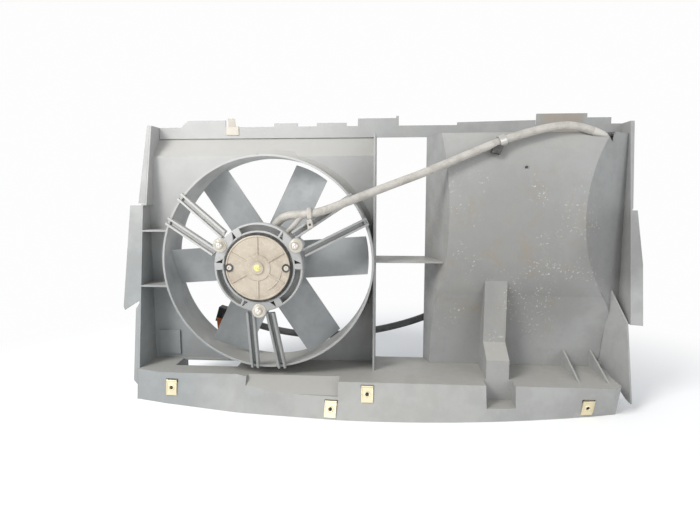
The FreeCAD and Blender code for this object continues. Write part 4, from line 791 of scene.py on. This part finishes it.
# Stage, in metres; the shadow fades between two distances from the middle of the floor
FLOOR_OUTLINE = rectangle(-6, -3, 6, 6)
FLOOR_WHITE = (0.95, 0.95, 0.945)
SEEN_WHITE = (0.985, 0.985, 0.985)
SHADOW_FULL, SHADOW_GONE = 0.34, 0.8
SKY_COLOUR = (0.93, 0.96, 1.0)
SKY_STRENGTH = 0.72

# View: place about the fan axis, directions to its right and up, lens and sensor in millimetres
VIEW_PLACE = (169.9, -714.9, 92.2)
VIEW_RIGHT = Vector((0.9970, 0.0758, 0.0))
VIEW_UP = Vector((-0.0096, 0.1264, 0.9919))
VIEW_LENS = 27.25
VIEW_SENSOR = 36.0

# Lights: name, place, target, diameter, power and colour
LIGHTS = (
    ("key", (-1.5, -1.6, 1.9), (-0.1, 0, 0.2), 1.0, 50, (1.0, 0.985, 0.96)),
    ("left", (-1.1, -1.0, 0.7), (-0.2, 0, 0.25), 0.8, 5, (1.0, 0.99, 0.97)),
    ("fill", (1.6, -1.8, 0.9), (0.1, 0, 0.2), 1.4, 12, (1, 1, 1)),
)


def floor_white(name):
    """Pale floor that keeps the shadow near the object and fades to the background farther out."""
    s = Shader(name)
    s.bsdf.inputs["Base Color"].default_value = (*FLOOR_WHITE, 1.0)
    s.bsdf.inputs["Roughness"].default_value = 0.9
    s.bsdf.inputs["Specular IOR Level"].default_value = 0.0
    plain = s.add("ShaderNodeEmission")
    plain.inputs["Color"].default_value = (*SEEN_WHITE, 1.0)
    geometry = s.add("ShaderNodeNewGeometry")
    gap = s.add("ShaderNodeVectorMath", operation="LENGTH")
    s.link(geometry, "Position", gap, 0)
    far = s.ramp(gap.outputs["Value"], SHADOW_FULL, SHADOW_GONE)
    path = s.add("ShaderNodeLightPath")
    mixer = s.add("ShaderNodeMixShader")
    s.tree.links.new(s.product(far, path.outputs["Is Camera Ray"]), mixer.inputs["Fac"])
    s.link(s.bsdf, "BSDF", mixer, 1)
    s.link(plain, "Emission", mixer, 2)
    s.link(mixer, "Shader", s.out, "Surface")
    return s.material


def make_floor():
    mesh = bpy.data.meshes.new("floor")
    mesh.from_pydata([(x, y, 0) for x, y in FLOOR_OUTLINE], [], [(0, 1, 2, 3)])
    mesh.materials.append(floor_white("floor_white"))
    floor = bpy.data.objects.new("floor", mesh)
    bpy.context.scene.collection.objects.link(floor)


def make_view():
    data = bpy.data.cameras.new("view")
    data.sensor_width = VIEW_SENSOR
    data.lens = VIEW_LENS
    item = bpy.data.objects.new("view", data)
    turn = Matrix((VIEW_RIGHT, VIEW_UP, VIEW_RIGHT.cross(VIEW_UP))).transposed().to_4x4()
    item.matrix_world = Matrix.Translation(place(*VIEW_PLACE)) @ turn
    bpy.context.scene.collection.objects.link(item)
    bpy.context.scene.camera = item


def make_world():
    """Soft sky that lights the object, seen as plain white directly and in reflections."""
    world = bpy.data.worlds.new("studio")
    world.use_nodes = True
    tree = world.node_tree
    tree.nodes.clear()
    out = tree.nodes.new("ShaderNodeOutputWorld")
    mixer = tree.nodes.new("ShaderNodeMixShader")
    sky = tree.nodes.new("ShaderNodeBackground")
    seen = tree.nodes.new("ShaderNodeBackground")
    path = tree.nodes.new("ShaderNodeLightPath")
    either = tree.nodes.new("ShaderNodeMath")
    sky.inputs["Color"].default_value = (*SKY_COLOUR, 1.0)
    sky.inputs["Strength"].default_value = SKY_STRENGTH
    seen.inputs["Color"].default_value = (*SEEN_WHITE, 1.0)
    seen.inputs["Strength"].default_value = 1.0
    either.operation = "MAXIMUM"
    tree.links.new(path.outputs["Is Camera Ray"], either.inputs[0])
    tree.links.new(path.outputs["Is Glossy Ray"], either.inputs[1])
    tree.links.new(either.outputs[0], mixer.inputs["Fac"])
    tree.links.new(sky.outputs[0], mixer.inputs[1])
    tree.links.new(seen.outputs[0], mixer.inputs[2])
    tree.links.new(mixer.outputs[0], out.inputs["Surface"])
    bpy.context.scene.world = world


def make_light(name, at, target, size, power, colour):
    data = bpy.data.lights.new(name, "AREA")
    data.shape = "DISK"
    data.size = size
    data.energy = power
    data.color = colour
    item = bpy.data.objects.new(name, data)
    item.location = at
    item.rotation_euler = (Vector(target) - Vector(at)).to_track_quat("-Z", "Y").to_euler()
    bpy.context.scene.collection.objects.link(item)


materials = make_materials()
dress_nodes(materials)
make_panel_hole(materials)
make_sleeve_holders(materials)
make_corner_webs(materials)
make_leads(materials, make_plug_lock(materials))
make_swell_foot(materials)
make_mount_face(materials)
make_plate_relief(materials)
make_plate_shadow_rings(materials)
make_bolt_domes(materials)
make_plate_screws(materials)
make_nut_details(materials)
make_floor()
make_view()
make_world()
for light in LIGHTS:
    make_light(*light)
bpy.context.scene.view_settings.view_transform = "Standard"
